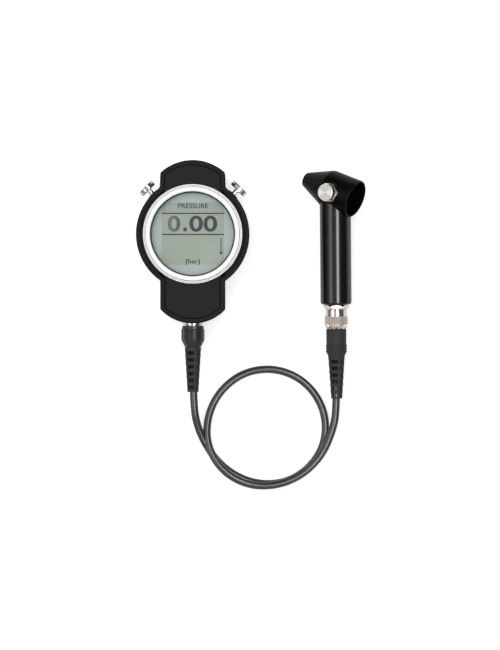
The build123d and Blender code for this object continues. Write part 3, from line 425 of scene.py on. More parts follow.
# Painted shade: a dark matte lining seen through the grip's slots, darker and duller than the lead it covers.
SLOT_SHADE_CORE = Finish("slot painted shade core", (24, 24, 24), 0.6, specular=0.15)
LEAD_BLACK = Finish("lead sheath", (36, 36, 37), 0.32, swing=0.04, specular=0.95)
ANODISED = Finish("black anodising", (5, 5, 5), 0.21, swing=0.03, specular=0.58)
HEAD_BLACK = Finish("head black finish", (4, 4, 4), 0.32, swing=0.03, specular=0.1)
STEEL = Finish("zinc plated steel", (190, 190, 194), 0.35, metallic=1.0)
BRASS = Finish("contact brass", (206, 176, 110), 0.3, metallic=1.0)
BOARD_GREEN = Finish("circuit board lacquer", (34, 92, 56), 0.35, coat=0.5)
CHIP_BLACK = Finish("chip moulding", (26, 26, 27), 0.5)
INNER_PLASTIC = Finish("inner moulding", (205, 204, 198), 0.5)
CELL_SLEEVE = Finish("cell sleeve", (150, 154, 160), 0.3, metallic=0.6)


# Mesh tools


class Work:
    """One mesh being shaped, in millimetres, in its own frame."""

    def __init__(self) -> None:
        """Starts an empty mesh."""
        self.bm = bmesh.new()

    def chain(self, points: Iterable[Point3], closed: bool = False) -> list[bmesh.types.BMEdge]:
        """Joins points by edges.

        Args:
            points: The points in order.
            closed: Whether the last one joins the first.

        Returns:
            The edges.
        """
        verts = [self.bm.verts.new(point) for point in points]
        pairs = list(zip(verts, verts[1:]))
        if closed:
            pairs.append((verts[-1], verts[0]))
        return [self.bm.edges.new(pair) for pair in pairs]

    def merge(self) -> None:
        """Welds coincident vertices and points all faces outward."""
        bmesh.ops.remove_doubles(self.bm, verts=self.bm.verts[:], dist=SAME)
        bmesh.ops.recalc_face_normals(self.bm, faces=self.bm.faces[:])

    def bridge(self, loops: Sequence[list[bmesh.types.BMEdge]]) -> None:
        """Skins from each loop of edges to the next."""
        for one, other in zip(loops, loops[1:]):
            bmesh.ops.bridge_loops(self.bm, edges=one + other)

    def turn(self, profile: Sequence[Point2], steps: int = 128, closed: bool = False) -> "Work":
        """Spins a (radius, height) profile once about Z.

        Args:
            profile: The places along the profile.
            steps: Faces round the turn.
            closed: Whether the profile's last place joins its first.

        Returns:
            This piece of work.
        """
        edges = self.chain([(radius, 0, height) for radius, height in profile], closed)
        verts = list({vert for edge in edges for vert in edge.verts})
        bmesh.ops.spin(
            self.bm, geom=verts + edges, cent=(0, 0, 0), axis=(0, 0, 1), dvec=(0, 0, 0),
            angle=2 * math.pi, steps=steps, use_merge=True, use_normal_flip=False,
            use_duplicate=False)
        self.merge()
        return self

    def ease(self, places: Sequence[Point2], width: float, segments: int = 4) -> "Work":
        """Rounds the round edges at the given (radius, height) places.

        Args:
            places: Radius and height of each edge.
            width: How far the rounding reaches each way.
            segments: Faces across the rounding.

        Returns:
            This piece of work.
        """
        picked = [edge for edge in self.bm.edges
                  if any(all(self.at(vert, place) for vert in edge.verts) for place in places)]
        bmesh.ops.bevel(
            self.bm, geom=picked, offset=width, offset_type="OFFSET", segments=segments,
            profile=0.5, affect="EDGES", clamp_overlap=True, material=-1, loop_slide=True)
        return self

    @staticmethod
    def at(vert: bmesh.types.BMVert, place: Point2) -> bool:
        """Whether a vertex lies at a radius and height about Z."""
        radius = math.hypot(vert.co.x, vert.co.y)
        return abs(radius - place[0]) < SAME and abs(vert.co.z - place[1]) < SAME

    def flats(self, count: int, across: float, turn: float, near: float = 0.0001) -> "Work":
        """Mills flats on a turned piece.

        Args:
            count: Number of flats.
            across: Distance across opposite flats.
            turn: Direction of one flat in degrees.
            near: How near a flat a vertex counts as on it.

        Returns:
            This piece of work.
        """
        for index in range(count):
            angle = math.radians(turn + 360 * index / count)
            way = Vector((math.cos(angle), math.sin(angle), 0))
            bm = self.bm
            bmesh.ops.bisect_plane(
                bm, geom=bm.verts[:] + bm.edges[:] + bm.faces[:], dist=near,
                plane_co=way * across / 2, plane_no=way, clear_outer=True)
            bmesh.ops.holes_fill(bm, edges=[e for e in bm.edges if e.is_boundary], sides=0)
        bmesh.ops.recalc_face_normals(self.bm, faces=self.bm.faces[:])
        return self

    def slab(self, size: Point3, centre: Point3) -> "Work":
        """Adds a block.

        Args:
            size: Its width, depth and height.
            centre: Its middle.

        Returns:
            This piece of work.
        """
        made = bmesh.ops.create_cube(self.bm, size=1.0)
        bmesh.ops.scale(self.bm, vec=size, verts=made["verts"])
        bmesh.ops.translate(self.bm, vec=centre, verts=made["verts"])
        return self

    def face_up(self) -> None:
        """Turns an open skin right side out, judged by its highest level face."""
        top = max(self.bm.faces, key=lambda face: (face.calc_center_median().z,
                                                   abs(face.normal.z)))
        if top.normal.z < 0:
            bmesh.ops.reverse_faces(self.bm, faces=self.bm.faces[:])

    def finish(self, name: str, place: Matrix, finish: Finish, body: Body,
               crease: float = 34.0, edge: float = 0.0) -> bpy.types.Object:
        """Turns the work into a piece of the object.

        Args:
            name: The piece's name.
            place: Where it goes, in millimetres.
            finish: Its surface.
            body: The body it rides on.
            crease: Edges sharper than this many degrees stay sharp.
            edge: Width of a fine bevel on those edges, in millimetres.

        Returns:
            The new object.
        """
        bmesh.ops.transform(self.bm, matrix=Matrix.Scale(MM, 4) @ place, verts=self.bm.verts[:])
        for face in self.bm.faces:
            face.smooth = True
        if not edge:
            for line in self.bm.edges:
                line.smooth = line.calc_face_angle(0.0) < math.radians(crease)
        mesh = bpy.data.meshes.new(name)
        self.bm.to_mesh(mesh)
        self.bm.free()
        made = put(name, mesh)
        mesh.materials.append(finish.material())
        if edge:
            bevel = made.modifiers.new("fine edge", "BEVEL")
            bevel.width = edge * MM
            bevel.segments = 2
            bevel.limit_method = "ANGLE"
            bevel.angle_limit = math.radians(crease)
        even = made.modifiers.new("even shading", "WEIGHTED_NORMAL")
        even.keep_sharp = True
        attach(made, body.value)
        return made


def paint(made: bpy.types.Object, place: Matrix, finish: Finish,
          chosen: Callable[[Vector, Vector], bool]) -> None:
    """Gives some faces of a piece another finish.

    Args:
        made: The piece.
        place: Where it was put, in millimetres.
        finish: The other finish.
        chosen: Says from a face's centre and normal, in the piece's own frame in
            millimetres, whether it takes that finish.
    """
    made.data.materials.append(finish.material())
    index = len(made.data.materials) - 1
    back = place.inverted()
    turn = back.to_3x3()
    for face in made.data.polygons:
        if chosen(back @ (face.center / MM), turn @ face.normal):
            face.material_index = index


def stepped(foot: float, *steps: float, bore: float = 0.0) -> list[Point2]:
    """Lays out a stepped profile.

    Args:
        foot: The height it starts at.
        steps: The radius of each step and the height it runs to, in turn.
        bore: The radius it starts and ends at.

    Returns:
        The places along the profile.
    """
    places = [(bore, foot)]
    for radius, end in zip(steps[::2], steps[1::2]):
        places += [(radius, places[-1][1]), (radius, end)]
    return places + [(bore, steps[-1])]


def arc_places(centre: Point2, radius: float, start: float, end: float,
               steps: int) -> list[Point2]:
    """Lays places along an arc in a profile.

    Args:
        centre: The arc's centre.
        radius: Its radius.
        start: Where it starts, in degrees.
        end: Where it ends.
        steps: How many steps it takes.

    Returns:
        The places.
    """
    places = []
    for index in range(steps + 1):
        angle = math.radians(start + (end - start) * index / steps)
        places.append((centre[0] + radius * math.cos(angle), centre[1] + radius * math.sin(angle)))
    return places


IDENTITY = Matrix.Identity(4)


@dataclass(frozen=True)
class Outline:
    """The housing outline in plan, in millimetres."""

    body_r: float = 36.7
    lug_half: float = 21.0
    top_apex: float = 47.9
    top_arc_r: float = 30.9
    bottom_apex: float = 58.0
    bottom_arc_r: float = 28.6
    top_neck_r: float = 4.0
    bottom_neck_r: float = 1.3
    corner_r: float = 1.6
    least_corner_r: float = 0.4
    arc_steps: int = 24
    body_steps: int = 40
    corner_steps: int = 6

    def loop(self, work: Work, inset: float, height: float) -> list[bmesh.types.BMEdge]:
        """Draws the outline, moved inward, at one height.

        Args:
            work: The mesh it is drawn in.
            inset: How far inside the full outline it runs.
            height: Its height.

        Returns:
            The edges of the closed loop.
        """
        half = self.lug_half - inset
        corner = max(self.corner_r - inset, self.least_corner_r)
        body = self.body_r - inset
        pen = Pen(work, (0.0, inset - self.bottom_apex), height)
        lower = self.corner(half, corner, self.bottom_arc_r - inset,
                            self.bottom_arc_r - self.bottom_apex, -1)
        pen.arc((0.0, self.bottom_arc_r - self.bottom_apex), lower.before, self.arc_steps)
        pen.arc(lower.centre, 90 - lower.before, self.corner_steps)
        neck = self.neck(half, body, self.bottom_neck_r + inset)
        pen.line((half, -neck.centre[1]))
        pen.arc((neck.centre[0], -neck.centre[1]), -(90 - neck.before), self.corner_steps)
        upper_neck = self.neck(half, body, self.top_neck_r + inset)
        pen.arc((0.0, 0.0), neck.before + upper_neck.before, self.body_steps)
        pen.arc(upper_neck.centre, -(90 - upper_neck.before), self.corner_steps)
        upper = self.corner(half, corner, self.top_arc_r - inset,
                            self.top_apex - self.top_arc_r, 1)
        pen.line((half, upper.centre[1]))
        pen.arc(upper.centre, 90 - upper.before, self.corner_steps)
        pen.arc((0.0, self.top_apex - self.top_arc_r), upper.before, self.arc_steps)
        return pen.mirrored_loop()

    def corner(self, half: float, radius: float, arc_r: float, arc_y: float,
               side: int) -> "Bend":
        """The rounding between a lug's side and its end arc.

        Args:
            half: Half the lug's width.
            radius: The rounding's radius.
            arc_r: Radius of the lug's end arc.
            arc_y: Height of that arc's centre in plan.
            side: 1 at the top lug, -1 at the bottom.

        Returns:
            Its centre, and the angle the end arc takes up to it.
        """
        x = half - radius
        y = arc_y + side * math.sqrt((arc_r - radius) ** 2 - x ** 2)
        before = math.degrees(math.atan2(x, abs(y - arc_y)))
        return Bend((x, y), before)

    def neck(self, half: float, body: float, radius: float) -> "Bend":
        """The hollow rounding between a lug's side and the round body.

        Args:
            half: Half the lug's width.
            body: The body's radius.
            radius: The rounding's radius.

        Returns:
            Its centre, and the angle up to which the body's arc runs.
        """
        x = half + radius
        y = math.sqrt((body + radius) ** 2 - x ** 2)
        return Bend((x, y), math.degrees(math.atan2(y, x)))


@dataclass(frozen=True)
class Bend:
    """A rounding in plan: its centre and the angle before it."""

    centre: Point2
    before: float


class Pen:
    """Draws the right half of an outline from its foot to its top."""

    def __init__(self, work: Work, start: Point2, height: float) -> None:
        """Sets the pen down.

        Args:
            work: The mesh it draws in.
            start: Where it starts in plan.
            height: The height of the drawing.
        """
        self.work = work
        self.height = height
        self.verts = [work.bm.verts.new((start[0], start[1], height))]
        self.edges: list[bmesh.types.BMEdge] = []

    def arc(self, centre: Point2, angle: float, steps: int) -> None:
        """Draws an arc about a centre.

        Args:
            centre: The centre in plan.
            angle: How far it goes in degrees, anticlockwise when positive.
            steps: How many edges it takes.
        """
        bm = self.work.bm
        swept = bmesh.ops.spin(
            bm, geom=[self.verts[-1]], cent=(*centre, self.height), axis=(0, 0, 1),
            dvec=(0, 0, 0), angle=math.radians(angle), steps=steps, use_merge=False,
            use_normal_flip=False, use_duplicate=False)
        last = [item for item in swept["geom_last"] if isinstance(item, bmesh.types.BMVert)][0]
        self.follow(last)

    def line(self, end: Point2) -> None:
        """Draws a straight line to a place."""
        made = bmesh.ops.extrude_vert_indiv(self.work.bm, verts=[self.verts[-1]])
        made["verts"][0].co = (end[0], end[1], self.height)
        self.follow(made["verts"][0])

    def follow(self, last: bmesh.types.BMVert) -> None:
        """Walks the new edges from the old tip and keeps them in order.

        Args:
            last: The new tip.
        """
        here = self.verts[-1]
        while here is not last:
            onward = [edge for edge in here.link_edges if edge not in self.edges]
            edge = onward[0]
            here = edge.other_vert(here)
            self.edges.append(edge)
            self.verts.append(here)

    def mirrored_loop(self) -> list[bmesh.types.BMEdge]:
        """Adds the mirrored left half and welds it on.

        Returns:
            The edges of the whole loop.
        """
        bm = self.work.bm
        copy = bmesh.ops.duplicate(bm, geom=self.verts + self.edges)
        verts = [item for item in copy["geom"] if isinstance(item, bmesh.types.BMVert)]
        bmesh.ops.scale(bm, vec=(-1, 1, 1), verts=verts)
        tips = [vert for vert in verts if abs(vert.co.x) < SAME]
        twins = {}
        for end in (self.verts[0], self.verts[-1]):
            twins[min(tips, key=lambda vert: (vert.co - end.co).length)] = end
        bmesh.ops.weld_verts(bm, targetmap=twins)
        kept = self.verts + [vert for vert in verts if vert.is_valid]
        return list({edge for vert in kept for edge in vert.link_edges})


def lofted(outline: Outline, profile: Sequence[Point2]) -> Work:
    """Runs an (inset, height) profile round the housing outline.

    Args:
        outline: The outline.
        profile: Inset and height of each place along the profile.

    Returns:
        The surface as work.
    """
    work = Work()
    work.bridge([outline.loop(work, inset, height) for inset, height in profile])
    work.merge()
    return work


# The probe's frames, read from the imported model


@dataclass
class Frames:
    """Places of the sub-assemblies, as matrices in millimetres."""

    plug_z: float = 12.4
    plug: Matrix = field(init=False)
    handle: Matrix = field(init=False)
    head: Matrix = field(init=False)
    bleed: Matrix = field(init=False)
    head_cross: float = 23.2
    bleed_at: float = 25.5

    def __post_init__(self) -> None:
        """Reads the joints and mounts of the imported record."""
        joints = {joint["name"]: joint for joint in frame["joints"]}
        mounts = {mount["name"]: mount for mount in frame["record"]["mounts"]}
        down = Vector(joints["probe_ring_turn"]["axis"]).normalized()
        bleed = -Vector(joints["bleed_button_press"]["axis"]).normalized()
        head = Vector(mounts["valve_socket"]["axis"]).normalized()
        on_handle = Vector(joints["probe_ring_turn"]["pos_m"]) / MM
        on_head = Vector(mounts["valve_socket"]["pos_m"]) / MM
        crossing = intersect_line_line(on_handle, on_handle + down, on_head, on_head + head)[0]
        self.plug = Matrix.Translation((0, 0, self.plug_z)) @ Matrix.Rotation(
            math.radians(90), 4, "X")
        self.handle = self.axes(crossing, bleed.cross(down), bleed, down)
        self.head = self.axes(crossing - head * self.head_cross, bleed,
                              head.cross(bleed), head)
        self.bleed = self.axes(crossing + head * (self.bleed_at - self.head_cross), head,
                               bleed.cross(head), bleed)

    @staticmethod
    def axes(origin: Vector, x: Vector, y: Vector, z: Vector) -> Matrix:
        """A placing matrix from an origin and three unit axes."""
        turn = Matrix((x, y, z)).transposed().to_4x4()
        return Matrix.Translation(origin) @ turn

    def button(self, side: int, height: float) -> Matrix:
        """The frame of a push button, with Z out along a radius of the dial.

        Args:
            side: -1 for the left button, 1 for the right.
            height: The height of its axis.

        Returns:
            The frame.
        """
        place = Matrix.Translation((0, 0, height))
        place = place @ Matrix.Rotation(math.radians(-45 * side), 4, "Z")
        return place @ Matrix.Rotation(math.radians(-90), 4, "X")


# Sub-assemblies


@dataclass
class Housing:
    """The gauge's two moulded halves and the inlay panel."""

    outline: Outline = field(default_factory=Outline)
    parting: float = 6.0
    seam: float = 0.3
    rim_top: float = 21.4
    rim_edge: float = 1.2
    rim_band: float = 3.1
    rim_inner_edge: float = 0.35
    pocket: float = 20.2
    panel_play: float = 0.3
    panel_top: float = 21.2
    panel_edge: float = 0.15
    dial_hole: float = 29.6
    wall: float = 2.2
    boss_r: float = 3.65
    boss_top: float = 37.35
    boss_foot: float = 34.0
    boss_edge: float = 0.35
    stem_hole_r: float = 1.6
    stem_hole: float = 1.5
    button_z: float = 10.8
    side_middle: float = 12.0
    shelf: float = 3.0

    def build(self, places: Frames) -> None:
        """Builds the front half, its button bosses and the panel.

        Args:
            places: The frames of the sub-assemblies.
        """
        self.front()
        self.bosses(places)
        self.panel()
        LOG.info("housing built")

    def front(self) -> None:
        """The front half's skin, from the seam over the rim to the pocket floor."""
        profile = [(self.wall, self.parting), (self.seam, self.parting),
                   (0.0, self.parting + self.seam), (0.0, self.side_middle)]
        profile += [(self.rim_edge - x, y) for x, y in arc_places(
            (0.0, self.rim_top - self.rim_edge), self.rim_edge, 0, 90, 6)]
        inner = self.rim_inner_edge
        profile += [(self.rim_band - inner - x, y) for x, y in arc_places(
            (0.0, self.rim_top - inner), inner, 90, 180, 4)]
        profile += [(self.rim_band, self.pocket), (self.rim_band + self.shelf, self.pocket)]
        profile = [place for index, place in enumerate(profile)
                   if index == 0 or place != profile[index - 1]]
        skin = lofted(self.outline, profile)
        skin.face_up()
        made = skin.finish("front_housing_skin", IDENTITY, HOUSING_BLACK, Body.GAUGE)
        # Painted shade on the walls and rounded edges that turn away from the light.
        paint(made, IDENTITY, HOUSING_SIDE_SHADE, lambda centre, normal: abs(normal.z) < 0.75)
        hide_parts("front_housing")

    def bosses(self, places: Frames) -> None:
        """The two round bosses that the button stems come out of.

        Args:
            places: The frames of the sub-assemblies.
        """
        for name, side in (("left", -1), ("right", 1)):
            boss = Work().turn(stepped(
                self.boss_foot, self.boss_r, self.boss_top,
                self.stem_hole_r, self.boss_top - self.stem_hole), steps=64)
            boss.ease([(self.boss_r, self.boss_top)], self.boss_edge, 3)
            made = boss.finish(f"{name}_button_boss", places.button(side, self.button_z),
                               HOUSING_BLACK, Body.GAUGE)

    def panel(self) -> None:
        """The inlay panel with its fine grained face, open under the dial."""
        inset = self.rim_band + self.panel_play
        work = lofted(self.outline, [
            (inset, self.pocket), (inset, self.panel_top - self.panel_edge),
            (inset + self.panel_edge, self.panel_top)])
        rim = [edge for edge in work.bm.edges
               if edge.is_boundary and abs(edge.verts[0].co.z - self.panel_top) < SAME]
        bmesh.ops.create_circle(work.bm, cap_ends=False, radius=self.dial_hole,
                                segments=len(rim), matrix=Matrix.Translation(
                                    (0, 0, self.panel_top)))
        hole = [edge for edge in work.bm.edges if not edge.link_faces]
        bmesh.ops.bridge_loops(work.bm, edges=rim + hole)
        work.merge()
        work.face_up()
        made = work.finish("face_panel_inlay", IDENTITY, PANEL_BLACK, Body.GAUGE)
        # Painted shade on the panel's edge, darkening the groove next to the rim.
        paint(made, IDENTITY, HOUSING_SIDE_SHADE, lambda centre, normal: abs(normal.z) < 0.9)
        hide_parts("face_panel")


@dataclass
class Dial:
    """The bezel, lens and display."""

    base: float = 21.2
    outer: float = 32.1
    inner: float = 27.4
    skirt: float = 29.5
    foot: float = 18.8
    top: float = 24.5
    lip: float = 23.5
    flat_out: float = 30.1
    flat_in: float = 27.9
    steps: int = 2
    step_w: float = 0.85
    step_h: float = 0.69
    tread: float = 0.6
    edge_h: float = 0.9
    fine_edge: float = 0.07
    level: float = 0.999
    slopes: Point2 = (0.2, 0.8)
    seat_gap: float = 0.1
    gasket_slope: float = 0.05
    gasket_w: float = 0.75
    lens_foot: float = 21.2
    lens_top: float = 23.1
    face_z: float = 20.2
    face_r: float = 26.6
    face_t: float = 2.0
    half_active: float = 20.1
    active_t: float = 0.2
    active_gap: float = 0.1
    round_cuts: int = 24
    active_centre: Point2 = (0.16, 0.1)
    ink_lift: float = 0.14
    ink_t: float = 0.1
    line_size: Point2 = (40.4, 0.7)
    line_x: float = 0.3
    line_ys: Sequence[tuple[str, float]] = (("upper", 13.3), ("lower", -0.35))
    arrow_x: float = 18.4
    arrow_size: Point2 = (0.6, 9.0)
    arrow_y: float = -7.3
    arrow_head_r: float = 1.3
    arrow_head_y: float = -12.4
    point_size: Point2 = (2.2, 2.4)
    point_at: Point2 = (-4.9, 2.9)

    def build(self) -> None:
        """Builds the bezel, the gasket, the lens and the display face."""
        self.bezel()
        self.lens()
        self.display()
        LOG.info("dial built")

    def bezel(self) -> None:
        """The stepped bright ring, in a bright and a satin part, with painted shade on the groove risers."""
        profile = [(self.inner, self.foot), (self.skirt, self.foot), (self.skirt, self.base),
                   (self.outer, self.base)]
        radius, height = self.outer, self.base + self.edge_h
        for _ in range(self.steps):
            profile.append((radius, height))
            profile.append((radius - self.tread, height))
            radius -= self.step_w
            height += self.step_h
        profile += [(radius, height), (self.flat_out, self.top), (self.flat_in, self.top),
                    (self.inner, self.lip)]
        ring = Work().turn(profile, steps=192, closed=True)
        made = ring.finish("bezel_ring_bright", IDENTITY, BEZEL_BRIGHT, Body.GAUGE,
                           crease=20, edge=self.fine_edge)
        groove_in = self.outer - self.steps * self.step_w
        shallow, steep = self.slopes
        paint(made, IDENTITY, BEZEL_SATIN,
              lambda centre, normal: normal.z > self.level and centre.z > self.top - self.seat_gap)
        # Painted shade on the risers between the outer steps.
        paint(made, IDENTITY, BEZEL_GROOVE_SHADE,
              lambda centre, normal: shallow < normal.z < steep
              and centre.xy.length > groove_in)
        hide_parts("bezel_ring")

    def lens(self) -> None:
        """The clear window and its black gasket."""
        radius = self.inner - self.gasket_w
        disc = Work().turn(stepped(self.lens_foot, radius, self.lens_top))
        made = disc.finish("dial_lens_clear", IDENTITY, LENS_CLEAR, Body.GAUGE, crease=20)
        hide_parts("dial_lens")
        foot = self.face_z + self.seat_gap
        gasket = Work().turn([(radius, foot), (self.inner, foot), (self.inner, self.lip),
                              (radius, self.lip - self.gasket_slope)], closed=True)
        made = gasket.finish("lens_gasket_ring", IDENTITY, SEAL_BLACK, Body.GAUGE)
        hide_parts("lens_gasket")

    def display(self) -> None:
        """The display's pale face, its active area and what it shows."""
        face = Work().turn(stepped(self.face_z, self.face_r, self.face_z - self.face_t))
        # The display face and active area glow with painted light.
        made = face.finish("display_face", IDENTITY, DISPLAY_PALE_GLOWING, Body.GAUGE)
        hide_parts("lcd_panel")
        x, y = self.active_centre
        side = 2 * self.half_active
        active = Work().slab((side, side, self.active_t), (x, y, self.face_z))
        radius = self.inner - self.gasket_w - self.active_gap
        active.flats(self.round_cuts, 2 * radius, 180 / self.round_cuts, near=0.0)
        active.merge()
        made = active.finish("display_active_area", IDENTITY, DISPLAY_ACTIVE_GLOWING, Body.GAUGE)
        self.readout()

    def readout(self) -> None:
        """The reading, its lines, arrow and plain unit words."""
        level = self.face_z + self.ink_lift
        for name, y in self.line_ys:
            rule = Work().slab((*self.line_size, self.ink_t), (self.line_x, y, level))
            made = rule.finish(f"display_{name}_line", IDENTITY, LINE_INK, Body.GAUGE)
        arrow = Work().slab((*self.arrow_size, self.ink_t), (self.arrow_x, self.arrow_y, level))
        head = bmesh.ops.create_circle(arrow.bm, cap_ends=True, radius=self.arrow_head_r,
                                       segments=3)
        bmesh.ops.rotate(arrow.bm, verts=head["verts"],
                         matrix=Matrix.Rotation(math.radians(180), 3, "Z"))
        bmesh.ops.translate(arrow.bm, verts=head["verts"],
                            vec=(self.arrow_x, self.arrow_head_y, level + self.ink_t / 2))
        made = arrow.finish("display_arrow", IDENTITY, LINE_INK, Body.GAUGE)
        point = Work().slab((*self.point_size, self.ink_t), (*self.point_at, level))
        made = point.finish("display_point", IDENTITY, DISPLAY_INK, Body.GAUGE)
        words = [
            ("display_first_digit", "0", (-16.1, 1.4, -8.0, 11.85), DISPLAY_INK, 0.022),
            ("display_last_digits", "00", (-2.13, 1.4, 15.9, 11.85), DISPLAY_INK, 0.022),
            ("display_title", "PRESSURE", (-9.4, 16.6, 9.9, 19.8), LINE_INK, 0.009),
            ("display_unit", "[bar]", (-4.3, -19.85, 4.6, -16.3), LINE_INK, 0.014),
        ]
        for name, words_shown, fit, ink, weight in words:
            made = lettering(name, words_shown, fit, level, ink, weight)


def lettering(name: str, words: str, fit: tuple[float, float, float, float], level: float,
              ink: Finish, weight: float) -> bpy.types.Object:
    """Sets plain words as a flat mesh inside a box.

    Args:
        name: The piece's name.
        words: What it says.
        fit: Left, bottom, right and top of the box, in millimetres.
        level: Its height.
        ink: Its finish.
        weight: How much the strokes are thickened, as a share of the letter height.

    Returns:
        The new object.
    """
    curve = bpy.data.curves.new(name, "FONT")
    curve.body = words
    curve.offset = weight
    curve.extrude = LETTER_RISE
    holder = put(name, curve)
    graph = bpy.context.evaluated_depsgraph_get()
    flat = bpy.data.meshes.new_from_object(holder.evaluated_get(graph))
    bpy.data.objects.remove(holder)
    bpy.data.curves.remove(curve)
    work = Work()
    work.bm.from_mesh(flat)
    bpy.data.meshes.remove(flat)
    low = Vector([min(vert.co[axis] for vert in work.bm.verts) for axis in range(3)])
    high = Vector([max(vert.co[axis] for vert in work.bm.verts) for axis in range(3)])
    left, bottom, right, top = fit
    stretch = ((right - left) / (high.x - low.x), (top - bottom) / (high.y - low.y), LETTER_STRETCH)
    bmesh.ops.translate(work.bm, verts=work.bm.verts[:], vec=(-low.x, -low.y, -high.z))
    bmesh.ops.scale(work.bm, verts=work.bm.verts[:], vec=stretch)
    bmesh.ops.translate(work.bm, verts=work.bm.verts[:], vec=(left, bottom, level))
    return work.finish(name, IDENTITY, ink, Body.GAUGE)


@dataclass
class PushButton:
    """A bright mushroom button on its stem, along its own Z."""

    head_r: float = 5.85
    inner: float = 40.6
    outer: float = 43.8
    edge: float = 0.45
    back_edge: float = 0.25
    slant: float = 0.8
    stem_r: float = 1.55
    tip: float = 32.9

    def build(self, name: str, place: Matrix, body: Body) -> None:
        """Builds one button.

        Args:
            name: The solid it stands for.
            place: Its frame.
            body: The body it rides on.
        """
        work = Work().turn([
            (0, self.tip), (self.stem_r, self.tip), (self.stem_r, self.inner),
            (self.head_r - self.back_edge, self.inner), (self.head_r, self.inner + self.back_edge),
            (self.head_r, self.outer - self.edge),
            (self.head_r - self.slant * self.edge, self.outer), (0, self.outer)], steps=96)
        made = work.finish(f"{name}_bright", place, NICKEL, body)
        # The chamfer takes a painted dark reflection: the dark outline a bright edge shows by mirroring the dark
        # around it.
        paint(made, place, DARK_EDGE_REFLECTION, lambda centre, normal: 0.3 < normal.z < 0.9)
        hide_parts(name)
        LOG.info("%s built", name)


@dataclass
class CouplingRing:
    """A knurled ring that turns on a spigot, along its own Z."""

    name: str
    body: Body
    finish: Finish
    band_finish: Finish
    slot: str
    start: float
    collar_r: float
    collar_end: float
    knurl_r: float
    knurl_end: float
    end: float
    end_r: float
    bore: float = 5.4
    teeth: int = 48
    depth: float = 0.45
    edge: float = 0.3
    flutes: int = 0
    flute_depth: float = 0.55
    land: float = 0.1
    under: float = 0.2
    least_tooth: float = 0.02
    taper_steps: int = 6

    def build(self, place: Matrix) -> None:
        """Builds the plain ring and its toothed band as one piece.

        Args:
            place: The frame it turns in.
        """
        root = self.knurl_r - self.depth - self.under
        core_r = self.end_r - self.land - (self.flute_depth if self.flutes else 0.0)
        work = Work().turn([
            (self.bore, self.start), (self.collar_r, self.start),
            (self.collar_r, self.collar_end), (root, self.collar_end),
            (root, self.knurl_end), (core_r, self.end), (self.bore, self.end)],
            steps=96, closed=True)
        work.ease([(self.collar_r, self.start)], self.edge, 3)
        self.band(work)
        made = work.finish(f"{self.name}_knurled", place, self.finish, self.body,
                           crease=24)
        paint(made, place, self.band_finish,
              lambda centre, normal: self.collar_end < centre.z < self.knurl_end)
        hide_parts(self.name)
        LOG.info("%s built", self.name)

    def band(self, work: Work) -> None:
        """Adds the toothed sleeve, whose teeth fade out over the taper.

        Args:
            work: The piece being built.
        """
        rows = [(self.collar_end, self.knurl_r - self.edge, 0.0),
                (self.collar_end + self.edge, self.knurl_r, 0.0),
                (self.knurl_end, self.knurl_r, 0.0)]
        for index in range(1, self.taper_steps + 1):
            share = index / self.taper_steps
            rows.append((self.knurl_end + (self.end - self.knurl_end) * share,
                         self.knurl_r + (self.end_r - self.knurl_r) * share, share))
        loops = [self.loop(work, *row) for row in rows]
        work.bridge(loops)
        bmesh.ops.holes_fill(work.bm, edges=[edge for edge in loops[-1] if edge.is_valid],
                             sides=0)
        work.merge()

    def loop(self, work: Work, height: float, radius: float,
             share: float) -> list[bmesh.types.BMEdge]:
        """Draws the toothed outline at one height.

        Args:
            work: The piece being built.
            height: How far along the ring.
            radius: Radius over the teeth.
            share: How far down the taper, from 0 to 1.

        Returns:
            The outline's edges.
        """
        circle = bmesh.ops.create_circle(
            work.bm, cap_ends=False, radius=radius, segments=4 * self.teeth,
            matrix=Matrix.Translation((0, 0, height)))
        tooth = min(self.depth, max(self.depth - self.knurl_r + radius, 0.0) + self.least_tooth)
        for index, vert in enumerate(circle["verts"]):
            flute = math.cos(math.pi * self.flutes * index / (2 * self.teeth))
            dip = tooth if index % 4 in (2, 3) else 0.0
            if self.flutes:
                dip += self.flute_depth * share * max(0.0, flute)
            vert.co.x *= 1 - dip / radius
            vert.co.y *= 1 - dip / radius
        return list({edge for vert in circle["verts"] for edge in vert.link_edges})


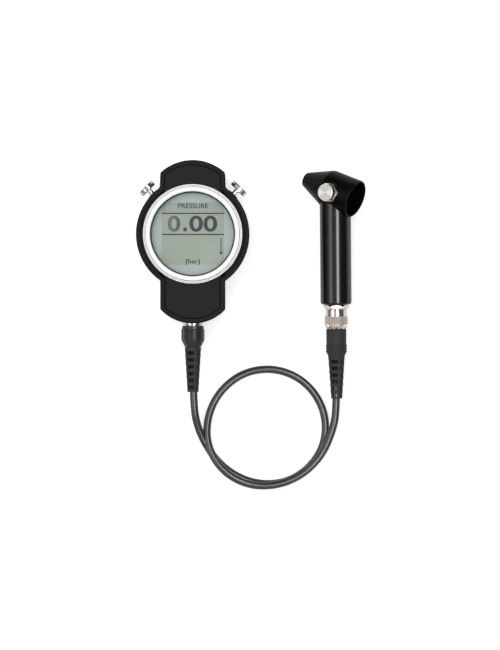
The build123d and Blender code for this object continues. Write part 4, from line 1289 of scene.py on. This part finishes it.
@dataclass
class BendRelief:
    """A moulded sleeve with rows of slots, along its own Z."""

    name: str
    profile: Sequence[Point2]
    end: float
    end_r: float
    first: float
    pitch: float
    turn: float
    rows: int = 6
    slot_h: float = 2.4
    slot_corner: float = 0.6
    columns: int = 4
    slot_faces: int = 14
    rib_faces: int = 6
    bore: float = 2.52
    edge: float = 0.18
    core_t: float = 0.06
    core_short: float = 0.2
    rim_gap: float = 0.3

    def build(self, place: Matrix) -> None:
        """Builds the sleeve, opens its slots, walls them down to the lead and lines them with a dark core that
        paints shade into the slots.

        Args:
            place: The frame it stands in.
        """
        faces_round = self.columns * (self.slot_faces + self.rib_faces)
        openings = [self.first + row * self.pitch for row in range(self.rows)]
        work = Work().turn(self.outline(openings), steps=faces_round)
        step = 2 * math.pi / faces_round
        cut = []
        for face in work.bm.faces:
            centre = face.calc_center_median()
            inside = any(abs(centre.z - middle) < self.slot_h / 2 for middle in openings)
            angle = math.atan2(centre.y, centre.x) % (2 * math.pi)
            column = int(angle / step) % (self.slot_faces + self.rib_faces)
            if inside and column < self.slot_faces:
                cut.append(face)
        bmesh.ops.delete(work.bm, geom=cut, context="FACES")
        self.wall_slots(work)
        centring = math.degrees(self.slot_faces * step / 2)
        spin = Matrix.Rotation(math.radians(90 + self.turn - centring), 4, "Z")
        made = work.finish(f"{self.name}_moulded", place @ spin, GRIP_RUBBER, Body.GAUGE,
                           edge=self.edge)
        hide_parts(self.name)
        # A dark core over the lead, painted shade for the inside of the slots.
        core_r = self.bore + self.core_t
        core = Work().turn(stepped(self.first - self.slot_h, core_r, self.end - self.core_short,
                                   bore=self.bore), steps=48, closed=True)
        made = core.finish(f"{self.name}_core", place, SLOT_SHADE_CORE, Body.GAUGE)
        LOG.info("%s built", self.name)

    def outline(self, openings: Sequence[float]) -> list[Point2]:
        """The sleeve's turned outline, with a place at each edge of each slot row.

        Args:
            openings: The middle of each row of slots.

        Returns:
            The places along the outline.
        """
        foot_r, foot_z = self.profile[-1]

        def radius(height: float) -> float:
            """The sleeve's radius at a height on its slotted taper."""
            share = (height - foot_z) / (self.end - foot_z)
            return foot_r + (self.end_r - foot_r) * share

        places = [(self.bore, self.profile[0][1])] + list(self.profile)
        for middle in openings:
            for height in (middle - self.slot_h / 2, middle + self.slot_h / 2):
                places.append((radius(height), height))
        return places + [(self.end_r, self.end), (self.bore, self.end)]

    def wall_slots(self, work: Work) -> None:
        """Draws each slot's rim in to the lead and rounds the slot's corners.

        Args:
            work: The sleeve.
        """
        rims = [edge for edge in work.bm.edges if edge.is_boundary
                and math.hypot(*edge.verts[0].co.xy) > self.bore + self.rim_gap]
        drawn = bmesh.ops.extrude_edge_only(work.bm, edges=rims)["geom"]
        for vert in drawn:
            if isinstance(vert, bmesh.types.BMVert):
                reach = self.bore / math.hypot(*vert.co.xy)
                vert.co.x *= reach
                vert.co.y *= reach
        bmesh.ops.recalc_face_normals(work.bm, faces=work.bm.faces[:])
        inner = {vert for vert in drawn if isinstance(vert, bmesh.types.BMVert)}
        corners = [edge for edge in work.bm.edges
                   if len(inner & set(edge.verts)) == 1 and edge.calc_face_angle(0.0) > 1.0]
        bmesh.ops.bevel(
            work.bm, geom=corners, offset=self.slot_corner, offset_type="OFFSET", segments=3,
            profile=0.5, affect="EDGES", clamp_overlap=True, material=-1)


@dataclass
class Sockets:
    """The bright gauge collar and the hexagonal probe socket."""

    spigot_r: float = 5.3
    stem_r: float = 4.6
    sunk: float = 3.0
    hex_play: float = 0.2
    collar_edge: float = 0.4
    collar_r: float = 6.2
    seat: float = 57.3
    collar_end: float = 59.15
    gauge_end: float = 64.55
    handle_end: float = 73.8
    hex_af: float = 14.8
    hex_end: float = 76.6
    crown: float = 1.3
    probe_end: float = 82.1

    def build(self, places: Frames) -> None:
        """Builds both sockets.

        Args:
            places: The frames of the sub-assemblies.
        """
        collar = Work().turn(stepped(
            self.seat - self.sunk, self.stem_r, self.seat, self.collar_r, self.collar_end,
            self.spigot_r, self.gauge_end), steps=96)
        collar.ease([(self.collar_r, self.collar_end)], self.collar_edge)
        made = collar.finish("gauge_socket_bright", places.plug, NICKEL, Body.GAUGE)
        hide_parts("gauge_socket")
        corner = self.hex_af / math.sqrt(3)
        crown_r = self.hex_af / 2 - self.hex_play
        nut = Work().turn([
            (0, self.handle_end), (crown_r, self.handle_end),
            (corner, self.handle_end + self.crown), (corner, self.hex_end - self.crown),
            (crown_r, self.hex_end), (0, self.hex_end)], steps=96)
        nut.flats(6, self.hex_af, 0)
        made = nut.finish("probe_socket_hex", places.handle, NICKEL, Body.GAUGE, crease=20)
        foot = self.handle_end - self.sunk
        spigot = Work().turn([
            (0, foot), (self.stem_r, foot), (self.stem_r, self.handle_end),
            (self.spigot_r, self.hex_end), (self.spigot_r, self.probe_end),
            (0, self.probe_end)], steps=64)
        other = spigot.finish("probe_socket_spigot", places.handle, NICKEL, Body.GAUGE)
        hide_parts("probe_socket")
        LOG.info("sockets built")


@dataclass
class Lead:
    """The black lead, on the same route as the solid."""

    radius: float = 2.5
    gauge_end: float = 102.5
    inside_gauge: float = 26.5
    leave_gauge: float = 8.5
    probe_end: float = 135.1
    inside_probe: float = 26.2
    leave_probe: float = 7.8
    real_length: float = 0.455
    route: Sequence[Point3] = (
        (3.6, -128.5, 7.0),
        (12.8, -145.2, 3.0),
        (26.0, -157.2, 2.5),
        (42.8, -163.4, 2.5),
        (60.6, -162.2, 2.5),
        (75.6, -153.2, 2.5),
        (85.4, -138.7, 2.5),
        (87.2, -121.3, 2.5),
        (81.2, -105.0, 2.5),
        (68.6, -92.6, 2.5),
        (51.4, -87.0, 2.5),
        (33.2, -89.8, 2.5),
        (18.1, -101.0, 2.5),
        (9.2, -118.0, 2.7),
        (8.8, -137.8, 6.3),
        (19.3, -154.8, 8.6),
        (36.4, -163.9, 8.0),
        (54.9, -163.8, 7.9),
        (71.3, -156.9, 7.9),
        (83.7, -144.6, 7.8),
        (90.9, -128.8, 7.0),
    )

    def build(self, places: Frames) -> None:
        """Builds the lead as a curve.

        Args:
            places: The frames of the sub-assemblies.
        """
        ends = [
            places.plug @ Vector((0, 0, self.gauge_end - self.inside_gauge)),
            places.plug @ Vector((0, 0, self.gauge_end + self.leave_gauge)),
            places.handle @ Vector((0, 0, self.probe_end + self.leave_probe)),
            places.handle @ Vector((0, 0, self.probe_end - self.inside_probe)),
        ]
        points = ends[:2] + [Vector(point) for point in self.route] + ends[2:]
        curve = bpy.data.curves.new("lead", "CURVE")
        curve.dimensions = "3D"
        curve.resolution_u = 16
        curve.bevel_depth = self.radius * MM
        curve.bevel_resolution = 8
        curve.use_fill_caps = True
        spline = curve.splines.new("NURBS")
        spline.points.add(len(points) - 1)
        for slot, point in zip(spline.points, points):
            slot.co = (*(point * MM), 1.0)
        spline.order_u = 3
        spline.use_endpoint_u = True
        made = put("lead", curve)
        curve.materials.append(LEAD_BLACK.material())
        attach(made, Body.GAUGE.value)
        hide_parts("cord")
        LOG.info("lead built")


@dataclass
class Probe:
    """The handle and the turned head with its valve mouth."""

    handle_r: float = 10.15
    handle_start: float = 4.0
    handle_end: float = 73.8
    handle_edge: float = 1.6
    foot_bore_r: float = 4.6
    foot_bore: float = 2.0
    loop_step: float = 0.35
    loops: int = 42
    small_r: float = 4.5
    small_edge: float = 0.8
    head_r: float = 12.5
    cone: float = 18.4
    knee: float = 0.8
    head_end: float = 39.0
    rim: float = 0.7
    cup_r: float = 11.4
    cup_in_r: float = 10.2
    cup_floor: float = 34.6
    cup_corner: float = 1.8
    mouth_r: float = 6.8
    valve_r: float = 4.3
    flare: float = 0.8
    seal_top: float = 31.3
    seal_t: float = 3.0
    cup_edge: float = 0.25
    boss_foot: float = 4.0
    boss_edge: float = 0.4
    wall: float = 0.5
    clear: float = 0.3
    boss_r: float = 7.0
    boss_top: float = 12.6

    def build(self, places: Frames) -> None:
        """Builds the handle, the head and the valve mouth.

        Args:
            places: The frames of the sub-assemblies.
        """
        profile = stepped(self.handle_start, self.handle_r, self.handle_end,
                          self.foot_bore_r, self.handle_end - self.foot_bore)
        profile[2:2] = [(self.handle_r, self.handle_start + self.loop_step * step)
                        for step in range(1, self.loops)]
        handle = Work().turn(profile)
        handle.ease([(self.handle_r, self.handle_end)], self.handle_edge, 6)
        self.clear_mouth(handle, places)
        made = handle.finish("probe_handle_tube", places.handle, ANODISED, Body.GAUGE)
        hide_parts("probe_handle")
        head = Work().turn([
            (0, 0), (self.small_r, 0), (self.head_r, self.cone), (self.head_r, self.head_end),
            (self.cup_r, self.head_end), (self.cup_in_r, self.cup_floor),
            (self.mouth_r, self.cup_floor), (self.mouth_r, self.seal_top - self.seal_t),
            (0, self.seal_top - self.seal_t)], steps=160)
        head.ease([(self.head_r, self.head_end)], self.rim, 6)
        head.ease([(self.small_r, 0)], self.small_edge, 4)
        head.ease([(self.head_r, self.cone)], self.knee, 6)
        head.ease([(self.cup_r, self.head_end)], self.cup_edge, 2)
        head.ease([(self.cup_in_r, self.cup_floor)], self.cup_corner, 5)
        made = head.finish("probe_head_turned", places.head, HEAD_BLACK, Body.GAUGE)
        # Painted shade inside the cup mouth.
        paint(made, places.head, CUP_SHADE,
              lambda centre, normal: centre.xy.length < self.cup_r
              and centre.z > self.seal_top - self.seal_t - self.wall)
        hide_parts("probe_head")
        boss = Work().turn(stepped(self.boss_foot, self.boss_r, self.boss_top), steps=96)
        boss.ease([(self.boss_r, self.boss_top)], self.boss_edge, 3)
        made = boss.finish("bleed_boss", places.bleed, HEAD_BLACK, Body.GAUGE)
        retainer = Work().turn([
            (self.valve_r, self.seal_top), (self.mouth_r, self.seal_top),
            (self.mouth_r, self.cup_floor), (self.valve_r + self.flare, self.cup_floor),
            (self.valve_r, self.cup_floor - self.flare)], steps=96, closed=True)
        # The retainer deep in the mouth takes the same painted shade.
        made = retainer.finish("seal_retainer_ring", places.head, CUP_SHADE, Body.GAUGE)
        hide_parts("seal_retainer")
        LOG.info("probe built")

    def clear_mouth(self, handle: Work, places: Frames) -> None:
        """Presses the tube's hidden end down, clear of the cup and the valve bore.

        Args:
            handle: The turned tube, in the handle's frame.
            places: The frames of the handle and the head.
        """
        to_head = places.head.inverted() @ places.handle
        back = to_head.inverted()
        for vertex in handle.bm.verts:
            seen = to_head @ vertex.co
            reach = seen.xy.length
            if reach > self.head_r - self.wall:
                continue
            floor = self.seal_top - self.seal_t - self.clear
            if reach > self.mouth_r + self.wall:
                floor = self.cup_floor - self.clear
            if seen.z > floor:
                seen.z = floor
                vertex.co = back @ seen


@dataclass
class BleedValve:
    """The hexagonal bush and bright button that let air out, along their own Z."""

    hex_af: float = 11.5
    hex_turn: float = 45.0
    crown: float = 1.5
    seat: float = 12.6
    hex_top: float = 14.5
    neck_r: float = 4.0
    neck_top: float = 15.6
    well_r: float = 3.2
    face: float = 18.4
    skirt: float = 16.1
    cap_r: float = 5.35
    inner_r: float = 4.4
    cap_t: float = 1.2
    edge: float = 0.5
    stem_r: float = 1.5
    tip: float = 5.8
    sheen_way: Point3 = (0.93, 0.36, 0.0)
    near_face: float = 0.05

    def build(self, places: Frames) -> None:
        """Builds the bush and the button.

        Args:
            places: The frames of the sub-assemblies.
        """
        corner = self.hex_af / math.sqrt(3)
        nut = Work().turn([
            (0, self.seat), (corner, self.seat), (corner, self.hex_top - self.crown),
            (corner - self.crown, self.hex_top), (0, self.hex_top)], steps=96)
        nut.flats(6, self.hex_af, self.hex_turn)
        made = nut.finish("bleed_bush_hex", places.bleed, NICKEL, Body.GAUGE, crease=20)
        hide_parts("bleed_bush")
        neck = Work().turn(stepped(self.seat, self.neck_r, self.neck_top,
                                   self.well_r, self.hex_top), steps=64)
        made = neck.finish("bleed_bush_neck", places.bleed, NICKEL, Body.GAUGE)
        cap = Work().turn(stepped(
            self.tip, self.stem_r, self.face - self.cap_t, self.inner_r, self.skirt,
            self.cap_r, self.face), steps=96)
        cap.ease([(self.cap_r, self.face)], self.edge, 1)
        made = cap.finish("bleed_button_bright", places.bleed, NICKEL, Body.BLEED_BUTTON)
        # Painted highlight: the cap face's bow-tie sheen is painted into its colour along one fixed way.
        turned = PaintedTurnedSheen("cap face painted sheen", (202, 198, 192), 0.45, metallic=0.4,
                            centre=tuple(places.bleed @ Vector((0, 0, self.face))),
                            across=tuple(places.bleed.to_3x3() @ Vector(self.sheen_way)))
        paint(made, places.bleed, turned,
              lambda centre, normal: normal.z > 0.99 and centre.z > self.face - self.near_face)
        # Painted highlight on the cap's rim chamfer.
        paint(made, places.bleed, CAP_EDGE_HIGHLIGHT, lambda centre, normal: 0.5 < normal.z < 0.9)
        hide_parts("bleed_button")
        LOG.info("bleed valve built")


KEPT_NODES: dict[Finish, Sequence[str]] = {
    HOUSING_BLACK: ("back_cover", "battery_door"),
    SEAL_BLACK: ("housing_seal", "lcd_strips", "button_seals", "valve_seal"),
    STEEL: ("cover_screws", "door_screw", "board_screws", "battery_contacts",
            "pressure_sensor", "bleed_clip", "bleed_spring", "left_clip", "right_clip",
            "left_spring", "right_spring"),
    INNER_PLASTIC: ("lcd_frame", "battery_tray"),
    BOARD_GREEN: ("circuit_board", "sensor_board"),
    CHIP_BLACK: ("board_chips", "button_switches", "gauge_socket_core", "probe_socket_core"),
    CELL_SLEEVE: ("battery_cells",),
    BRASS: ("gauge_socket_nut", "gauge_plug_core", "probe_plug_core", "core_pin"),
}


def dress_kept_nodes() -> None:
    """Gives the solids that stay their finishes."""
    for finish, names in KEPT_NODES.items():
        for name in names:
            node = frame["nodes"][name]
            node.data.materials.clear()
            node.data.materials.append(finish.material())
    LOG.info("kept solids dressed")


@dataclass
class Studio:
    """The pale floor, the soft lights and the camera straight above.

    Lights stand in metres, and each strip is its x, its width and its power. The surround is
    bright toward bright_way above bright_height, save for one dark gap, and the rest is dark.
    """

    view_x: float = 37.15
    view_y: float = -58.96
    camera_z: float = 1615.0
    lens: float = 136.4
    floor_half: float = 3000.0
    fill_level: float = 0.72
    dark_gloss: float = 0.09
    bright_gloss: float = 0.5
    bright_way: Point3 = (-0.707, -0.707, 0.0)
    bright_side: Point2 = (-0.3, -0.02)
    bright_height: Point2 = (0.2, 0.42)
    gap_way: Point3 = (0.64, -0.77, 0.0)
    gap_at: float = -0.07
    gap_half: float = 0.035
    floor_tone: float = 0.94
    floor_gloss: float = 0.06
    floor_lift: float = 0.55
    key_place: Point3 = (-0.75, 0.55, 1.5)
    key_size: Point2 = (1.1, 1.1)
    key_power: float = 9.0
    strip_height: float = 1.3
    strip_length: float = 1.3
    right_strip: Point3 = (0.40, 0.32, 14.0)
    left_strip: Point3 = (-0.95, 0.70, 5.5)

    def build(self) -> None:
        """Sets up the floor, the world, the lights and the camera."""
        self.floor()
        self.world()
        self.lights()
        self.camera()
        bpy.context.scene.view_settings.view_transform = "Standard"
        LOG.info("studio built")

    def floor(self) -> None:
        """A wide plain floor that shows white and keeps soft shadows."""
        mesh = bpy.data.meshes.new("floor")
        shape = bmesh.new()
        bmesh.ops.create_grid(shape, x_segments=1, y_segments=1, size=self.floor_half * MM)
        shape.to_mesh(mesh)
        shape.free()
        made = put("floor", mesh)
        paper = bpy.data.materials.new("white floor")
        paper.use_nodes = True
        tree = paper.node_tree
        path = add(tree, "ShaderNodeLightPath")
        mirrored = calc(tree, "MULTIPLY", (path, "Is Glossy Ray"), self.floor_gloss)
        lift = calc(tree, "MULTIPLY_ADD", (path, "Is Camera Ray"), self.floor_lift, mirrored)
        feed(tree, tree.nodes["Principled BSDF"], {
            "Base Color": (*[self.floor_tone] * 3, 1.0), "Roughness": 0.9,
            "Specular IOR Level": 0.1, "Emission Color": WHITE, "Emission Strength": lift})
        mesh.materials.append(paper)

    def world(self) -> None:
        """A surround white to the camera, an even fill to soft light, and in reflections bright toward one side
        and dark elsewhere.
        """
        world = bpy.data.worlds.new("studio")
        bpy.context.scene.world = world
        world.use_nodes = True
        tree = world.node_tree
        tree.nodes.clear()
        path = add(tree, "ShaderNodeLightPath")
        mirrored = calc(tree, "ADD", (path, "Is Glossy Ray"), (path, "Is Transmission Ray"),
                        clamp=True)
        way = add(tree, "ShaderNodeTexCoord"), "Generated"
        up = add(tree, "ShaderNodeSeparateXYZ", {"Vector": way}), "Z"
        side = ramp(tree, along(tree, way, self.bright_way), *self.bright_side)
        height = ramp(tree, up, *self.bright_height)
        gap = calc(tree, "COMPARE", along(tree, way, self.gap_way), self.gap_at, self.gap_half)
        lit = calc(tree, "MULTIPLY", calc(tree, "MULTIPLY", side, height),
                   calc(tree, "SUBTRACT", 1.0, gap))
        seen = add(tree, "ShaderNodeMapRange",
                   {"Value": lit, "To Min": self.dark_gloss, "To Max": self.bright_gloss})
        gloss = add(tree, "ShaderNodeMix",
                    {"Factor": mirrored, "A": self.fill_level, "B": (seen, "Result")})
        level = add(tree, "ShaderNodeMix",
                    {"Factor": (path, "Is Camera Ray"), "A": (gloss, "Result"), "B": 1.0})
        back = add(tree, "ShaderNodeBackground", {"Color": WHITE, "Strength": (level, "Result")})
        add(tree, "ShaderNodeOutputWorld", {"Surface": (back, "Background")})

    def lights(self) -> None:
        """A large soft key from the upper left, and two strips for the highlights."""
        key = self.soft_box("key soft box", Vector(self.key_place), self.key_size,
                            self.key_power)
        key.visible_glossy = False
        for name, (x, width, power) in (("right strip", self.right_strip),
                                        ("left strip", self.left_strip)):
            strip = self.soft_box(name, Vector((x, self.view_y * MM, self.strip_height)),
                                  (self.strip_length, width), power)
            strip.visible_diffuse = False

    def soft_box(self, name: str, place: Vector, size: Point2,
                 power: float) -> bpy.types.Object:
        """Hangs a soft box that faces the middle of the picture.

        Args:
            name: Its name.
            place: Where it hangs, in metres.
            size: Its width and height in metres.
            power: Its power in watts.

        Returns:
            The light.
        """
        lamp = bpy.data.lights.new(name, "AREA")
        lamp.shape = "RECTANGLE"
        lamp.size, lamp.size_y = size
        lamp.energy = power
        made = put(name, lamp)
        aim = Vector((self.view_x * MM, self.view_y * MM, 0)) - place
        made.location = place
        made.rotation_euler = aim.to_track_quat("-Z", "Y").to_euler()
        return made

    def camera(self) -> None:
        """A camera straight above the middle of the picture."""
        eye = bpy.data.cameras.new("camera")
        eye.lens = self.lens
        made = put("camera", eye)
        made.location = (self.view_x * MM, self.view_y * MM, self.camera_z * MM)
        bpy.context.scene.camera = made


def ribbed_sleeve(ribs: int = 3, first: float = 100.2, pitch: float = 1.7) -> list[Point2]:
    """The outline of the probe's grip before its slots, with its ribs.

    Args:
        ribs: Number of ribs.
        first: Height of the first rib's foot.
        pitch: How far apart they stand.

    Returns:
        The places along the outline.
    """
    places: list[Point2] = [(4.5, 83.6), (4.5, 89.9), (6.55, 89.9)]
    rib = ((6.5, 0.0), (6.9, 0.2), (6.9, 1.1), (6.5, 1.3))
    for index in range(ribs):
        foot = first + index * pitch
        places += [(radius, foot + rise) for radius, rise in rib]
    return places + [(6.5, 105.3), (5.5, 107.0)]


def main() -> None:
    """Builds the object in order, then the studio."""
    logging.basicConfig(level=logging.INFO, format="%(name)s: %(message)s")
    places = Frames()
    housing = Housing()
    housing.build(places)
    Dial().build()
    button = PushButton()
    button.build("left_button", places.button(-1, housing.button_z), Body.LEFT_BUTTON)
    button.build("right_button", places.button(1, housing.button_z), Body.RIGHT_BUTTON)
    Sockets().build(places)
    CouplingRing("gauge_plug_ring", Body.GAUGE_RING, RING_BLACK, RING_BLACK, "housing_black",
                 start=59.45, collar_r=7.05, collar_end=61.55, knurl_r=7.55,
                 knurl_end=68.7, end=73.0, end_r=5.45).build(places.plug)
    BendRelief("gauge_plug_grip", [(4.5, 66.05), (4.5, 73.3), (5.4, 73.3)], end=102.5,
               end_r=3.65, first=77.15, pitch=4.46, turn=20.0).build(places.plug)
    CouplingRing("probe_plug_ring", Body.PROBE_RING, NICKEL, KNURLED_NICKEL,
                 "bright_plate", start=76.9, collar_r=6.8, collar_end=81.4, knurl_r=7.55,
                 knurl_end=86.9, end=89.6, end_r=6.4, flutes=12).build(places.handle)
    BendRelief("probe_plug_grip", ribbed_sleeve(), end=135.1, end_r=3.65, first=110.9,
               pitch=4.4, turn=-8.4).build(places.handle)
    Lead().build(places)
    Probe().build(places)
    BleedValve().build(places)
    dress_kept_nodes()
    Studio().build()


if __name__ == "__main__":
    main()
